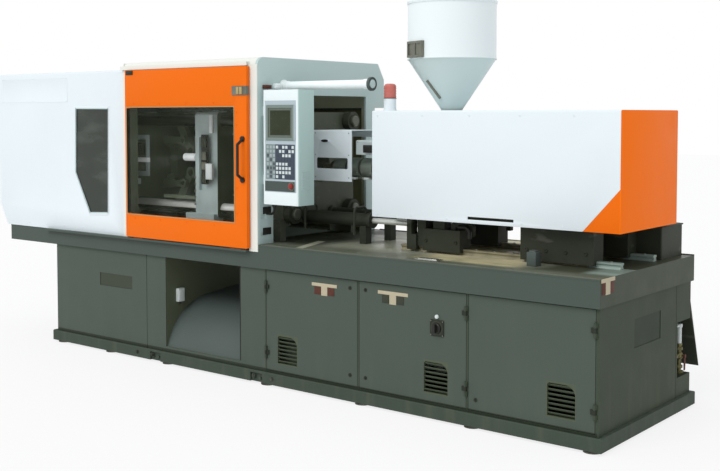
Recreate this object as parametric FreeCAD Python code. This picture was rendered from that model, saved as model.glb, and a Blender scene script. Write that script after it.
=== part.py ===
import FreeCAD, Part
import math
import os
from FreeCAD import Vector

# Injection moulding machine with a toggle clamp, millimetres, Z up.
# While the pieces are made, x = 0 is the base's end below the injection unit, y = 0 the middle of
# the platens and z = 0 the floor. Negative y is the operator's side, negative x the clamp's side.
# At the end all pieces move together, so that the origin is the middle of the whole, on the floor.

# ---- base -------------------------------------------------------------------------------------
INJECTION_BASE_LENGTH = 2290.0
BAY_COLUMN = 213.0            # column between the bay and the injection base
BAY_WIDTH = 717.0             # opening for the box that takes the mouldings
LEFT_COLUMN = 195.0
CLAMP_CABINET = 1018.0        # closed cabinet left of the columns
BASE_WIDTH = 1176.0
PLINTH_TOP = 88.0
PLINTH_PROUD = 25.0
PLINTH_RAIL = 110.0
PAD_HEIGHT = 14.0
PAD_RADIUS = 48.0
BED_TOP = 886.0
BEAM_DEPTH = 148.0
BEAM_PROUD = 22.0
BEAM_WALL = 60.0
BED_PLATE = 24.0
BED_TAIL = 550.0              # bed carried past the base at the clamp's end
BED_NOSE = 10.0
SHEET = 6.0                   # cabinet wall
BAY_SILL = 32.0
CHUTE_RADIUS = 420.0
CHUTE_SHEET = 4.0
CHUTE_REAR_RISE = 90.0
WAY_HEIGHT = 6.0              # hardened strips that the moving platen runs on
WAY_WIDTH = 85.0
WAY_END_GAP = 20.0            # between the strips and the fixed platen's face

# ---- cabinet doors ----------------------------------------------------------------------------
DOOR_1_WIDTH = 728.0
DOOR_2_WIDTH = 741.0
MULLION = 12.0
END_POST = 20.0
DOOR_BOTTOM = 100.0
DOOR_TOP = 730.0
DOOR_GAP = 2.5
DOOR_DEPTH = 18.0
DOOR_SKIN = 3.0
DOOR_LIP = 30.0               # how far the wall behind reaches in past the door's edge
KNUCKLE_RADIUS = 8.0
HINGE_PIN_RADIUS = 4.0
PIN_CLEARANCE = 0.08
KNUCKLE_LENGTH = 26.0
HINGE_HEIGHTS = (212.0, 626.0)
VENT_BOTTOM = 152.0
VENT_HEIGHT = 172.0
VENT_WIDTH = 160.0
VENT_ARCH = 55.0
LOUVRES = 7
SWITCH_RADIUS = 28.0
SWITCH_PLATE = 92.0
SWITCH_HEIGHT = 521.0
SWITCH_FROM_EDGE = 192.0
TANK_SETBACK = 70.0
PANEL_SETBACK = 390.0
PANEL_BOTTOM = 150.0
PANEL_TOP = 690.0

# ---- water corner -----------------------------------------------------------------------------
WATER_POCKET_WIDTH = 188.0
WATER_POCKET_LENGTH = 140.0
WATER_POCKET_BOTTOM = 200.0
WATER_POCKET_TOP = 520.0
WATER_PIPE_RADIUS = 13.0
SIGHT_TUBE_RADIUS = 14.0
SIGHT_TUBE_LENGTH = 110.0
VALVE_RADIUS = 24.0
GUARD_REACH = 150.0
GUARD_LOW = 212.0
GUARD_HIGH = 636.0

# ---- enclosure --------------------------------------------------------------------------------
ARCH_SETBACK = 35.0
ARCH_THICKNESS = 20.0
ARCH_TOP = 2065.0
ARCH_OVERHANG = 107.0         # behind the base, over the rear gate
ARCH_CHAMFER_Y = 71.0
ARCH_CHAMFER_Z = 112.0
ARCH_STEP_Z = 1752.0
ARCH_CORNER = 55.0
ARCH_FRONT_LEG = 140.0
ARCH_REAR_LEG = 102.0
ARCH_OPENING_TOP = 1830.0
ARCH_SLOTS = (935.0, 1050.0)  # heights of the two slots in its front leg
PILLAR_WIDTH = 74.0
PILLAR_DEPTH = 60.0
PILLAR_SKIN = 6.0
PILLAR_TOP = 2010.0
PILLAR_DROP = 44.0
ROOF_SHEET = 4.0
GATE_WIDTH = 1170.0
GATE_BOTTOM = 860.0
GATE_TOP = 2008.0
GATE_THICKNESS = 28.0
GATE_CLEARANCE = 4.0
GATE_OVERLAP = 14.0
GATE_POST_GAP = 67.0
WINDOW_LEFT = 16.0            # from the gate's left edge
WINDOW_RIGHT = 112.0
WINDOW_BOTTOM = 1020.0
WINDOW_TOP = 1752.0
WINDOW_PANE = 5.0
HANDLE_BOTTOM = 1293.0
HANDLE_TOP = 1551.0
HANDLE_REACH = 48.0
HANDLE_RADIUS = 9.0
HANDLE_FROM_EDGE = 34.0
GATE_STROKE = 950.0
GATE_SHOE_LENGTH = 90.0
GATE_RAIL = 14.0              # height of the guide bar that carries the gate, along the bed's side
GUIDE_FIN = 5.0
GUIDE_DEPTH = 22.0
GUIDE_CLEARANCE = 1.0
RUNNING_GAP = 0.3
COVER_LENGTH = 1503.0
COVER_TOP = 2015.0
COVER_BOTTOM = 852.0
COVER_SHEET = 4.0
COVER_CHAMFER_X = 106.0
COVER_CHAMFER_Z = 182.0
COVER_EDGE_RADIUS = 14.0
COVER_WINDOW = ((0.0, 1746.0), (367.0, 1744.0), (354.0, 1011.0), (149.0, 1001.0), (-10.0, 1285.0))
COVER_WINDOW_FROM_EDGE = 525.0
RAIL_BOX_TAIL = 995.0

# ---- control box ------------------------------------------------------------------------------
CONTROL_WIDTH = 295.0
CONTROL_DEPTH = 150.0
CONTROL_BOTTOM = 1146.0
CONTROL_TOP = 1857.0
CONTROL_PROUD = 20.0          # past the base's front
CONTROL_ARM = 41.0
CONTROL_ARM_SIZE = 60.0
FACE_MARGIN = 18.0
FACE_TOP = 1790.0
FACE_BOTTOM = 1226.0
FACE_THICKNESS = 4.0
SCREEN_TOP = 1745.0
SCREEN_BOTTOM = 1562.0
SCREEN_MARGIN = 30.0
STRIP_RISE = 3.0
STOP_RADIUS = 17.0
STOP_STEM = 8.0
STOP_HEIGHT = 22.0
STOP_FROM_EDGE = 34.0
STOP_UP = 40.0
STOP_TRAVEL = 5.0

# ---- work lamp and beacon ---------------------------------------------------------------------
LAMP_LENGTH = 705.0
LAMP_RADIUS = 27.0
LAMP_HEIGHT = 1888.0
LAMP_Y = -368.0
BEACON_RADIUS = 37.0
BEACON_BASE = 75.0
BEACON_LENS = 88.0
BEACON_FROM_EDGE = 47.0
BEACON_Y = -248.0

# ---- clamp ------------------------------------------------------------------------------------
CLAMP_AXIS_Z = 1360.0
PLATEN_SIZE = 720.0
PLATEN_CORNER = 26.0
TIE_BAR_INSET = 60.0
TIE_BAR_SPACING = PLATEN_SIZE - 2 * TIE_BAR_INSET
TIE_BAR_RADIUS = 37.5
BAR_CLEARANCE = 0.5
FIXED_PLATEN_SETBACK = 15.0   # behind the arch plate
FIXED_PLATEN_THICKNESS = 190.0
DAYLIGHT = 411.0
MOVING_PLATEN_THICKNESS = 220.0
END_PLATEN_THICKNESS = 190.0
NUT_RADIUS = 64.0
NUT_LENGTH = 55.0
NUT_CLEARANCE = 0.5
LOCATING_RADIUS = 80.0
LOCATING_DEPTH = 25.0
NOZZLE_HOLE_RADIUS = 34.0
NOZZLE_CONE_RADIUS = 110.0
NOZZLE_CONE_DEPTH = 120.0
MOULD_HOLE_SPACING = 420.0
MOULD_HOLE_RADIUS = 8.0
MOULD_HOLE_DEPTH = 34.0
FOOT_WIDTH = 58.0
FOOT_LENGTH = 290.0
SIDE_POCKET_DEPTH = 20.0

# ---- toggle -----------------------------------------------------------------------------------
CLOSING_STROKE = 250.0
REAR_LINK = 290.0
FRONT_LINK = 346.0
LOCKED_SLACK = 0.8            # how far short of straight the links stand when the clamp is shut
PIVOT_Z = 330.0               # outer pivots, above and below the clamp's axis
REAR_LUG_REACH = 166.0
FRONT_LUG_REACH = 95.0
EYE_RADIUS = 48.0
KNEE_RADIUS = 44.0
SMALL_EYE_RADIUS = 34.0
PIVOT_PIN_RADIUS = 24.0
SMALL_PIN_RADIUS = 17.0
INNER_PLATE = (16.0, 56.0)    # distances from the middle to the faces of each layer of links
MIDDLE_PLATE = (60.0, 100.0)
OUTER_PLATE = (104.0, 138.0)
CROSS_TAP = 0.70              # where the cross link meets the rear link, as a share of its length
CROSS_LINK = 175.0
CROSSHEAD_PIN_Z = 160.0
CROSSHEAD_THICKNESS = 80.0
CLAMP_ROD_RADIUS = 32.0
CYLINDER_RADIUS = 105.0
CYLINDER_BORE = 80.0
CYLINDER_LENGTH = 590.0
CYLINDER_CAP = 45.0
PISTON = 60.0
ROD_CLEARANCE = 1.0
EJECTOR_STROKE = 100.0
EJECTOR_THICKNESS = 28.0
EJECTOR_HALF_Z = 105.0
EJECTOR_HALF_Y = 130.0
EJECTOR_ROD_RADIUS = 14.0
EJECTOR_ROD_SPACING = 140.0
EJECTOR_HUB_RADIUS = 34.0
EJECTOR_HUB_LENGTH = 50.0

# ---- injection unit ---------------------------------------------------------------------------
INJECTION_COVER_LENGTH = 1610.0
INJECTION_COVER_HALF = 365.0
INJECTION_COVER_BOTTOM = 1090.0
INJECTION_COVER_TOP = 1728.0
INJECTION_SHEET = 4.0
END_SLANT_X = 215.0
END_SLANT_Z = 229.0
COVER_SLOT_LENGTH = 298.0
COVER_SLOT_START = 630.0
COVER_SLOT_HEIGHT = 16.0
COVER_SLOT_UP = 22.0
HOPPER_X = -1280.0
HOPPER_RADIUS = 268.0
HOPPER_SHEET = 3.0
HOPPER_CYLINDER = 335.0
HOPPER_CONE = 308.0
HOPPER_NECK_RADIUS = 64.0
HOPPER_NECK_GAP = 14.0
LID_RISE = 42.0
LID_SHEET = 3.0
LID_RIM = 26.0
SIGHT_BOX = (150.0, 96.0, 22.0)
SIGHT_ANGLE = 250.0
HOUSING_LENGTH = 270.0
HOUSING_HALF_Y = 290.0
HOUSING_HALF_Z = 190.0
HOUSING_WINDOW = 60.0
BARREL_RADIUS = 46.0
BARREL_BORE = 22.8
SCREW_CLEARANCE = 0.3
BARREL_TIP_X = -2300.0
NOZZLE_TIP_RADIUS = 12.0
NOZZLE_LENGTH = 120.0
BAND_RADIUS = 64.0
BAND_LENGTH = 92.0
BAND_PITCH = 108.0
BAND_COUNT = 4
BAND_START = 140.0
DRIVE_GAP = 90.0
INJECTION_CYLINDER_Y = 215.0
INJECTION_CYLINDER_RADIUS = 58.0
INJECTION_CYLINDER_LENGTH = 420.0
INJECTION_ROD_RADIUS = 24.0
INJECTION_STROKE = 200.0
DRIVE_THICKNESS = 80.0
MOTOR_RADIUS = 120.0
MOTOR_LENGTH = 190.0
MOTOR_TAIL = 60.0
CARRIAGE_BACK = 200.0
CARRIAGE_FORWARD = 100.0
RAIL_Y = 212.0
RAIL_WIDTH = 44.0
RAIL_HEIGHT = 34.0
RAIL_LENGTH = 1430.0
RAIL_END = 60.0
FRONT_FOOT_X = (-1303.0, -1041.0)
REAR_FOOT_X = (-640.0, -196.0)
FOOT_TOP = 1078.0
FOOT_BODY_TOP = 1030.0
FOOT_HALF_WIDTH = 58.0
POST_WIDTH = 50.0
CARRIAGE_CYLINDER_Y = 130.0
CARRIAGE_CYLINDER_Z = 1036.0
CARRIAGE_CYLINDER_RADIUS = 42.0
CARRIAGE_CYLINDER_BORE = 30.0
CARRIAGE_CYLINDER_LENGTH = 560.0
CARRIAGE_PISTON = 36.0
CARRIAGE_GLAND = 20.0
CARRIAGE_ROD_RADIUS = 18.0
PURGE_LENGTH = 327.0
PURGE_GAP = 65.0              # clear of the tie bars' ends when it swings
PURGE_PIN_SHORT = 40.0        # how far short of the guard's end its pin stops
PURGE_HALF_Y = 160.0
PURGE_UP = 244.0
PURGE_DOWN = 84.0
PURGE_SHEET = 3.0
PURGE_SLOT_LOW = -4.0
PURGE_SLOT_HIGH = 66.0
PURGE_MARGIN = 34.0
BARREL_GUARD_UP = 182.0
BARREL_GUARD_DOWN = 90.0
BARREL_GUARD_HALF = 130.0
JUNCTION_LENGTH = 194.0
JUNCTION_HEIGHT = 184.0
JUNCTION_FROM_END = 49.0
JUNCTION_FROM_EDGE = 39.0
JUNCTION_FROM_FEET = 6.0        # clear of the carriage feet beside it
PUMP_MOTOR_RADIUS = 125.0
PUMP_MOTOR_LENGTH = 400.0
PUMP_RADIUS = 70.0
PUMP_LENGTH = 120.0
PUMP_AXIS_Z = 330.0
MOTOR_FINS = 9

# ---- places that follow from the sizes --------------------------------------------------------
HALF = BASE_WIDTH / 2
X_SEAM = -INJECTION_BASE_LENGTH
X_BAY_RIGHT = X_SEAM - BAY_COLUMN
X_BAY_LEFT = X_BAY_RIGHT - BAY_WIDTH
X_COLUMN_LEFT = X_BAY_LEFT - LEFT_COLUMN
X_BASE_END = X_COLUMN_LEFT - CLAMP_CABINET
X_BED_END = X_BASE_END - BED_TAIL
BEAM_BOTTOM = BED_TOP - BEAM_DEPTH
BEAM_HALF = HALF + BEAM_PROUD
ARCH_REAR = HALF + ARCH_OVERHANG
ARCH_OPENING_FRONT = BEAM_HALF - ARCH_FRONT_LEG
ARCH_OPENING_REAR = HALF - ARCH_REAR_LEG
X_ARCH = X_SEAM - ARCH_SETBACK
X_ARCH_BACK = X_ARCH - ARCH_THICKNESS
X_PILLAR = X_ARCH - PILLAR_WIDTH
X_GATE_RIGHT = X_PILLAR + GATE_OVERLAP
X_GATE_LEFT = X_GATE_RIGHT - GATE_WIDTH
X_COVER = X_GATE_LEFT - GATE_POST_GAP
X_COVER_END = X_COVER - COVER_LENGTH
STRIP_FACE = BEAM_HALF + PILLAR_SKIN
COVER_HALF = BEAM_HALF + COVER_SHEET
GATE_INNER = STRIP_FACE + GATE_CLEARANCE
GATE_OUTER = GATE_INNER + GATE_THICKNESS
X_FIXED = X_ARCH - FIXED_PLATEN_SETBACK
X_FIXED_FACE = X_FIXED - FIXED_PLATEN_THICKNESS
X_MOVING_FACE = X_FIXED_FACE - DAYLIGHT
X_MOVING_BACK = X_MOVING_FACE - MOVING_PLATEN_THICKNESS
X_FRONT_PIVOT = X_MOVING_BACK - FRONT_LUG_REACH
OPEN_REACH = REAR_LINK + FRONT_LINK - LOCKED_SLACK - CLOSING_STROKE
X_REAR_PIVOT = X_FRONT_PIVOT - OPEN_REACH
X_END_FACE = X_REAR_PIVOT - REAR_LUG_REACH
X_END_BACK = X_END_FACE - END_PLATEN_THICKNESS
WAY_TOP = BED_TOP + WAY_HEIGHT


def triangle_angle(opposite, side_1, side_2):
    """Angle between two sides of a triangle, from its three sides."""
    return math.acos((side_1 ** 2 + side_2 ** 2 - opposite ** 2) / (2 * side_1 * side_2))


# Angles of the links to the clamp's axis, at rest with the clamp open and when it is shut.
SHUT_REACH = OPEN_REACH + CLOSING_STROKE
REAR_ANGLE = triangle_angle(FRONT_LINK, REAR_LINK, OPEN_REACH)
FRONT_ANGLE = triangle_angle(REAR_LINK, FRONT_LINK, OPEN_REACH)
REAR_ANGLE_SHUT = triangle_angle(FRONT_LINK, REAR_LINK, SHUT_REACH)
FRONT_ANGLE_SHUT = triangle_angle(REAR_LINK, FRONT_LINK, SHUT_REACH)


def tap_point(angle):
    """Where the cross link meets the upper rear link, in x and in z from the clamp's axis."""
    reach = REAR_LINK * CROSS_TAP
    return X_REAR_PIVOT + reach * math.cos(angle), PIVOT_Z - reach * math.sin(angle)


def crosshead_x(angle):
    """Where the crosshead's pins stand for an angle of the rear links."""
    x, z = tap_point(angle)
    return x - math.sqrt(CROSS_LINK ** 2 - (z - CROSSHEAD_PIN_Z) ** 2)


TAP_OPEN = tap_point(REAR_ANGLE)
TAP_SHUT = tap_point(REAR_ANGLE_SHUT)
X_CROSSHEAD = crosshead_x(REAR_ANGLE)
X_CROSSHEAD_SHUT = crosshead_x(REAR_ANGLE_SHUT)
CROSS_ANGLE = math.atan2(TAP_OPEN[1] - CROSSHEAD_PIN_Z, TAP_OPEN[0] - X_CROSSHEAD)
CROSS_ANGLE_SHUT = math.atan2(TAP_SHUT[1] - CROSSHEAD_PIN_Z, TAP_SHUT[0] - X_CROSSHEAD_SHUT)
KNEE = (X_REAR_PIVOT + REAR_LINK * math.cos(REAR_ANGLE), PIVOT_Z - REAR_LINK * math.sin(REAR_ANGLE))

ALONG_X = Vector(1, 0, 0)
ALONG_Y = Vector(0, 1, 0)
ALONG_Z = Vector(0, 0, 1)


# ---- small helpers ----------------------------------------------------------------------------
def box(x0, x1, y0, y1, z0, z1):
    """Block between two corners."""
    return Part.makeBox(x1 - x0, y1 - y0, z1 - z0, Vector(x0, y0, z0))


def rod(start, along, length, radius):
    """Round bar from a point along a direction."""
    return Part.makeCylinder(radius, length, Vector(*start), along)


def pipe(start, along, length, radius, bore):
    """Round bar with a hole right through."""
    return rod(start, along, length, radius).cut(rod(start, along, length, bore))


def joined(shapes):
    """One solid from pieces that meet."""
    first, *rest = shapes
    return first.fuse(rest).removeSplitter() if rest else first


def group(shapes):
    """Separate solids that share one node."""
    return Part.makeCompound(shapes)


def placed(plane, u, v, at):
    """Point of a plane's own coordinates in space."""
    return {"xz": Vector(u, at, v), "yz": Vector(at, u, v), "xy": Vector(u, v, at)}[plane]


def outline(plane, points, at=0.0):
    """Face bounded by straight runs; a third number in a point rounds that corner."""
    edges = []
    ends = []
    count = len(points)
    for i, point in enumerate(points):
        here = Vector(point[0], point[1], 0)
        if len(point) == 2:
            ends.append((here, here, None))
            continue
        back = (Vector(points[i - 1][0], points[i - 1][1], 0) - here).normalize()
        ahead = (Vector(points[(i + 1) % count][0], points[(i + 1) % count][1], 0) - here).normalize()
        half = back.getAngle(ahead) / 2
        run = point[2] / math.tan(half)
        middle = (back + ahead).normalize()
        centre = here + middle * (point[2] / math.sin(half))
        ends.append((here + back * run, here + ahead * run, centre - middle * point[2]))
    for i, (start, end, through) in enumerate(ends):
        if through is not None:
            edges.append(Part.Arc(placed(plane, start.x, start.y, at), placed(plane, through.x, through.y, at),
                                  placed(plane, end.x, end.y, at)).toShape())
        following = ends[(i + 1) % count][0]
        if (following - end).Length > 1e-6:
            edges.append(Part.makeLine(placed(plane, end.x, end.y, at),
                                       placed(plane, following.x, following.y, at)))
    return Part.Face(Part.Wire(edges))


def prism(plane, points, start, end):
    """Outline carried from one distance to another, square to its plane."""
    normal = {"xz": ALONG_Y, "yz": ALONG_X, "xy": ALONG_Z}[plane]
    return outline(plane, points, start).extrude(normal * (end - start))


def turned(profile, centre, along):
    """Solid of revolution: (radius, height) points about a line through the centre."""
    wire = Part.makePolygon([Vector(r, 0, h) for r, h in profile] + [Vector(profile[0][0], 0, profile[0][1])])
    solid = Part.Face(wire).revolve(Vector(0, 0, 0), ALONG_Z, 360)
    solid.Placement = FreeCAD.Placement(Vector(*centre), FreeCAD.Rotation(ALONG_Z, along))
    return solid


def across(shape):
    """The same piece on the other side of the machine's middle."""
    return shape.mirror(Vector(0, 0, 0), ALONG_Y)


def below(shape):
    """The same piece mirrored through the clamp's axis, from above it to below."""
    return shape.mirror(Vector(0, 0, CLAMP_AXIS_Z), ALONG_Z)


def both_sides(shape):
    """A piece and its mirror image across the machine."""
    return [shape, across(shape)]


def four_corners(spacing):
    """y and z of four places round the clamp's axis."""
    half = spacing / 2
    return [(y, CLAMP_AXIS_Z + z) for y in (-half, half) for z in (-half, half)]


def rounded_box(x0, x1, y0, y1, z0, z1, radius):
    """Block whose four edges along x are rounded."""
    return prism("yz", [(y0, z0, radius), (y1, z0, radius), (y1, z1, radius), (y0, z1, radius)], x0, x1)


# ---- base -------------------------------------------------------------------------------------
def base_plinth():
    """Welded skid ring below the cabinets, with a recessed bolted joint each side of the bay."""
    x0, x1 = X_BASE_END - PLINTH_PROUD, PLINTH_PROUD
    y1 = HALF + PLINTH_PROUD
    bevel = 7.0
    ring = prism("yz", [(-y1, PAD_HEIGHT), (y1, PAD_HEIGHT), (y1, PLINTH_TOP - bevel),
                        (y1 - bevel, PLINTH_TOP), (bevel - y1, PLINTH_TOP), (-y1, PLINTH_TOP - bevel)], x0, x1)
    inner = PLINTH_RAIL
    holes = []
    for left, right in ((X_SEAM, x1), (X_COLUMN_LEFT, X_SEAM), (x0, X_COLUMN_LEFT)):
        holes.append(box(left + inner / 2, right - inner / 2, inner - y1, y1 - inner, 0, PLINTH_TOP + 1))
    recess_depth, recess_half, recess_top = 14.0, 52.0, 72.0
    notches, bolts = [], []
    for x in (X_SEAM - PLINTH_RAIL / 2, X_COLUMN_LEFT + PLINTH_RAIL):
        for side in (-1, 1):
            face = side * y1
            inside = face - side * recess_depth
            notches.append(box(x - recess_half, x + recess_half, min(face + side, inside),
                               max(face + side, inside), PAD_HEIGHT - 1, recess_top))
            for step in (-0.5, 0.5):
                bolts.append(rod((x + step * recess_half, inside, PAD_HEIGHT + 28), ALONG_Y * side,
                                 recess_depth - 3, 9.0))
    return joined([ring.cut(holes + notches)] + bolts)


def levelling_pads():
    """Round feet under the plinth's two long rails."""
    y = HALF + PLINTH_PROUD - PLINTH_RAIL / 2
    stations = [-INJECTION_BASE_LENGTH * k / 3 for k in range(4)]
    stations = [stations[0] - PAD_RADIUS] + stations[1:]
    stations += [X_BAY_LEFT, (X_BAY_LEFT + X_BASE_END) / 2, X_BASE_END + PAD_RADIUS]
    profile = [(0, 0), (PAD_RADIUS, 0), (PAD_RADIUS, PAD_HEIGHT * 0.6), (PAD_RADIUS * 0.6, PAD_HEIGHT),
               (0, PAD_HEIGHT)]
    pad = turned(profile, (0, 0, 0), ALONG_Z)
    return group([pad.translated(Vector(x, s * y, 0)) for x in stations for s in (-1, 1)])


def clamp_base():
    """Sheet cabinet under the clamp, with the open bay that passes across the machine."""
    body = box(X_BASE_END, X_SEAM, -HALF, HALF, PLINTH_TOP, BEAM_BOTTOM)
    inside = HALF - SHEET
    cavities = []
    for left, right in ((X_BASE_END, X_COLUMN_LEFT), (X_COLUMN_LEFT, X_BAY_LEFT), (X_BAY_RIGHT, X_SEAM)):
        cavities.append(box(left + SHEET, right - SHEET, -inside, inside, PLINTH_TOP - 1, BEAM_BOTTOM - SHEET))
    bay = box(X_BAY_LEFT, X_BAY_RIGHT, -HALF - 1, HALF + 1, PLINTH_TOP + BAY_SILL, BEAM_BOTTOM + 1)
    seam, seam_depth = 5.0, 3.0
    grooves = [box(X_COLUMN_LEFT - seam / 2, X_COLUMN_LEFT + seam / 2, s * HALF - seam_depth,
                   s * HALF + seam_depth, PLINTH_TOP, BEAM_BOTTOM) for s in (-1, 1)]
    recess_length, recess_height, recess_x, recess_z = 355.0, 92.0, 155.0, 476.0
    recess = box(X_COLUMN_LEFT - recess_x - recess_length, X_COLUMN_LEFT - recess_x, -HALF - 1,
                 -HALF + seam_depth, recess_z, recess_z + recess_height)
    return body.cut(cavities + grooves + [bay, recess])


def door_spans():
    """Left and right edge of each of the three door openings of the injection base."""
    left_1 = X_SEAM + MULLION
    right_1 = left_1 + DOOR_1_WIDTH + 2 * DOOR_GAP
    left_2 = right_1 + MULLION
    right_2 = left_2 + DOOR_2_WIDTH + 2 * DOOR_GAP
    return [(left_1, right_1), (left_2, right_2), (right_2 + MULLION, -END_POST)]


def hinge_pin_place(span, on_right):
    """x and y of the hinge line of a cabinet door."""
    edge = span[1] - DOOR_GAP / 2 if on_right else span[0] + DOOR_GAP / 2
    return edge, -HALF - KNUCKLE_RADIUS - RUNNING_GAP


def fixed_hinges(span, on_right):
    """Pins with their end knuckles, on the post beside a door."""
    x, y = hinge_pin_place(span, on_right)
    side = 1 if on_right else -1
    pieces = []
    for z in HINGE_HEIGHTS:
        low = z - 1.5 * KNUCKLE_LENGTH
        pieces.append(rod((x, y, low), ALONG_Z, 3 * KNUCKLE_LENGTH, HINGE_PIN_RADIUS))
        for start in (low, z + KNUCKLE_LENGTH / 2 + RUNNING_GAP):
            length = KNUCKLE_LENGTH - RUNNING_GAP
            pieces.append(rod((x, y, start), ALONG_Z, length, KNUCKLE_RADIUS))
            leaf = sorted((x, x + side * MULLION))
            pieces.append(box(leaf[0], leaf[1], y, -HALF, start, start + length))
    return pieces


def injection_base():
    """Cabinet under the injection unit: tank, switchgear and pump rooms behind three doors."""
    body = box(X_SEAM, 0, -HALF, HALF, PLINTH_TOP, BEAM_BOTTOM)
    door_back = -HALF + DOOR_DEPTH
    cuts = []
    spans = door_spans()
    depths = (door_back + TANK_SETBACK, door_back + PANEL_SETBACK, HALF - SHEET)
    for (left, right), depth in zip(spans, depths):
        cuts.append(box(left, right, -HALF - 1, door_back, DOOR_BOTTOM - DOOR_GAP, DOOR_TOP + DOOR_GAP))
        cuts.append(box(left + DOOR_LIP, right - DOOR_LIP, door_back - 1, door_back + SHEET + 1,
                        DOOR_BOTTOM + DOOR_LIP, DOOR_TOP - DOOR_LIP))
        cuts.append(box(left + SHEET, right - SHEET, door_back + SHEET, depth, PLINTH_TOP + SHEET,
                        BEAM_BOTTOM - SHEET))
    tank_left, tank_right = spans[0]
    cuts.append(box(tank_left + SHEET, tank_right - SHEET, depths[0] + SHEET, HALF - SHEET,
                    PLINTH_TOP - 1, BEAM_BOTTOM - SHEET))
    gear_left, gear_right = spans[1]
    cuts.append(box(gear_left + SHEET, gear_right - SHEET, depths[1] + SHEET, HALF - SHEET,
                    PLINTH_TOP - 1, BEAM_BOTTOM - SHEET))
    pocket_y = HALF - WATER_POCKET_WIDTH
    body = body.cut(cuts)
    walls = box(-WATER_POCKET_LENGTH - SHEET, 0, pocket_y - SHEET, HALF, WATER_POCKET_BOTTOM - SHEET,
                WATER_POCKET_TOP + SHEET)
    pocket = box(-WATER_POCKET_LENGTH, 1, pocket_y, HALF + 1, WATER_POCKET_BOTTOM, WATER_POCKET_TOP)
    recess = box(-3.0, 1, -180.0, 160.0, 470.0, 625.0)
    seam = box(-3.0, 1, pocket_y - 22.0, pocket_y - 18.0, PLINTH_TOP, BEAM_BOTTOM)
    body = body.fuse(walls).cut([pocket, recess, seam])
    hinges = fixed_hinges(spans[0], False) + fixed_hinges(spans[1], True) + fixed_hinges(spans[2], True)
    return joined([body] + hinges)


def bed_frame():
    """Top frame of both bases, open over the bay, with the ways of the moving platen."""
    body = box(X_BED_END, BED_NOSE, -BEAM_HALF, BEAM_HALF, BEAM_BOTTOM, BED_TOP)
    inner = BEAM_HALF - BEAM_WALL
    under = []
    for left, right in ((X_BED_END, X_BAY_LEFT), (X_BAY_RIGHT, BED_NOSE)):
        under.append(box(left + BEAM_WALL, right - BEAM_WALL, -inner, inner, BEAM_BOTTOM - 1, BED_TOP - BED_PLATE))
    well_y = PLATEN_SIZE / 2 - FOOT_WIDTH / 2
    well = prism("xy", [(X_BAY_LEFT, -well_y, 30.0), (X_BAY_RIGHT, -well_y, 30.0), (X_BAY_RIGHT, well_y, 30.0),
                        (X_BAY_LEFT, well_y, 30.0)], BEAM_BOTTOM - 1, BED_TOP + 1)
    way_y = PLATEN_SIZE / 2 - FOOT_WIDTH / 2 + 2.0
    ways = [box(X_END_BACK, X_FIXED_FACE - WAY_END_GAP, s * way_y if s > 0 else -way_y - WAY_WIDTH,
                way_y + WAY_WIDTH if s > 0 else -way_y, BED_TOP, WAY_TOP) for s in (-1, 1)]
    drip = both_sides(box(X_SEAM, BED_NOSE, -BEAM_HALF, -BEAM_HALF + 12.0, BED_TOP, BED_TOP + 5.0))
    rail = box(X_GATE_LEFT - GATE_STROKE, X_PILLAR, -GATE_OUTER + 3.0, -BEAM_HALF, COVER_BOTTOM - GATE_RAIL,
               COVER_BOTTOM)
    return joined([body.cut(under + [well]), rail] + ways + drip)


def discharge_chute():
    """Curved slide in the bay that brings the mouldings to the operator's side."""
    r, t = CHUTE_RADIUS, CHUTE_SHEET
    low = PLINTH_TOP + BAY_SILL
    centre_y, centre_z = -HALF + r, low - 104.0
    rise = low - centre_z
    start_y = centre_y - math.sqrt(r ** 2 - rise ** 2)
    inner_start_y = centre_y - math.sqrt((r - t) ** 2 - rise ** 2)
    top = centre_z + r
    bend = math.radians(45 + math.degrees(math.asin(rise / r)) / 2)

    def at(y, z):
        return Vector(X_BAY_LEFT, y, z)

    def arc(radius, first, last):
        middle = at(centre_y - radius * math.cos(bend), centre_z + radius * math.sin(bend))
        return Part.Arc(at(*first), middle, at(*last)).toShape()

    rear = HALF - SHEET
    rear_top = top + CHUTE_REAR_RISE
    edges = [arc(r, (start_y, low), (centre_y, top)),
             Part.makeLine(at(centre_y, top), at(rear, rear_top)),
             Part.makeLine(at(rear, rear_top), at(rear, rear_top - t)),
             Part.makeLine(at(rear, rear_top - t), at(centre_y, top - t)),
             arc(r - t, (inner_start_y, low), (centre_y, top - t)),
             Part.makeLine(at(inner_start_y, low), at(start_y, low))]
    face = Part.Face(Part.Wire(Part.__sortEdges__(edges)))
    sheet = face.extrude(ALONG_X * (X_BAY_RIGHT - X_BAY_LEFT))
    stop = box(X_BAY_LEFT, X_BAY_RIGHT, rear, rear + t, low, rear_top)
    return joined([sheet, stop])


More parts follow.
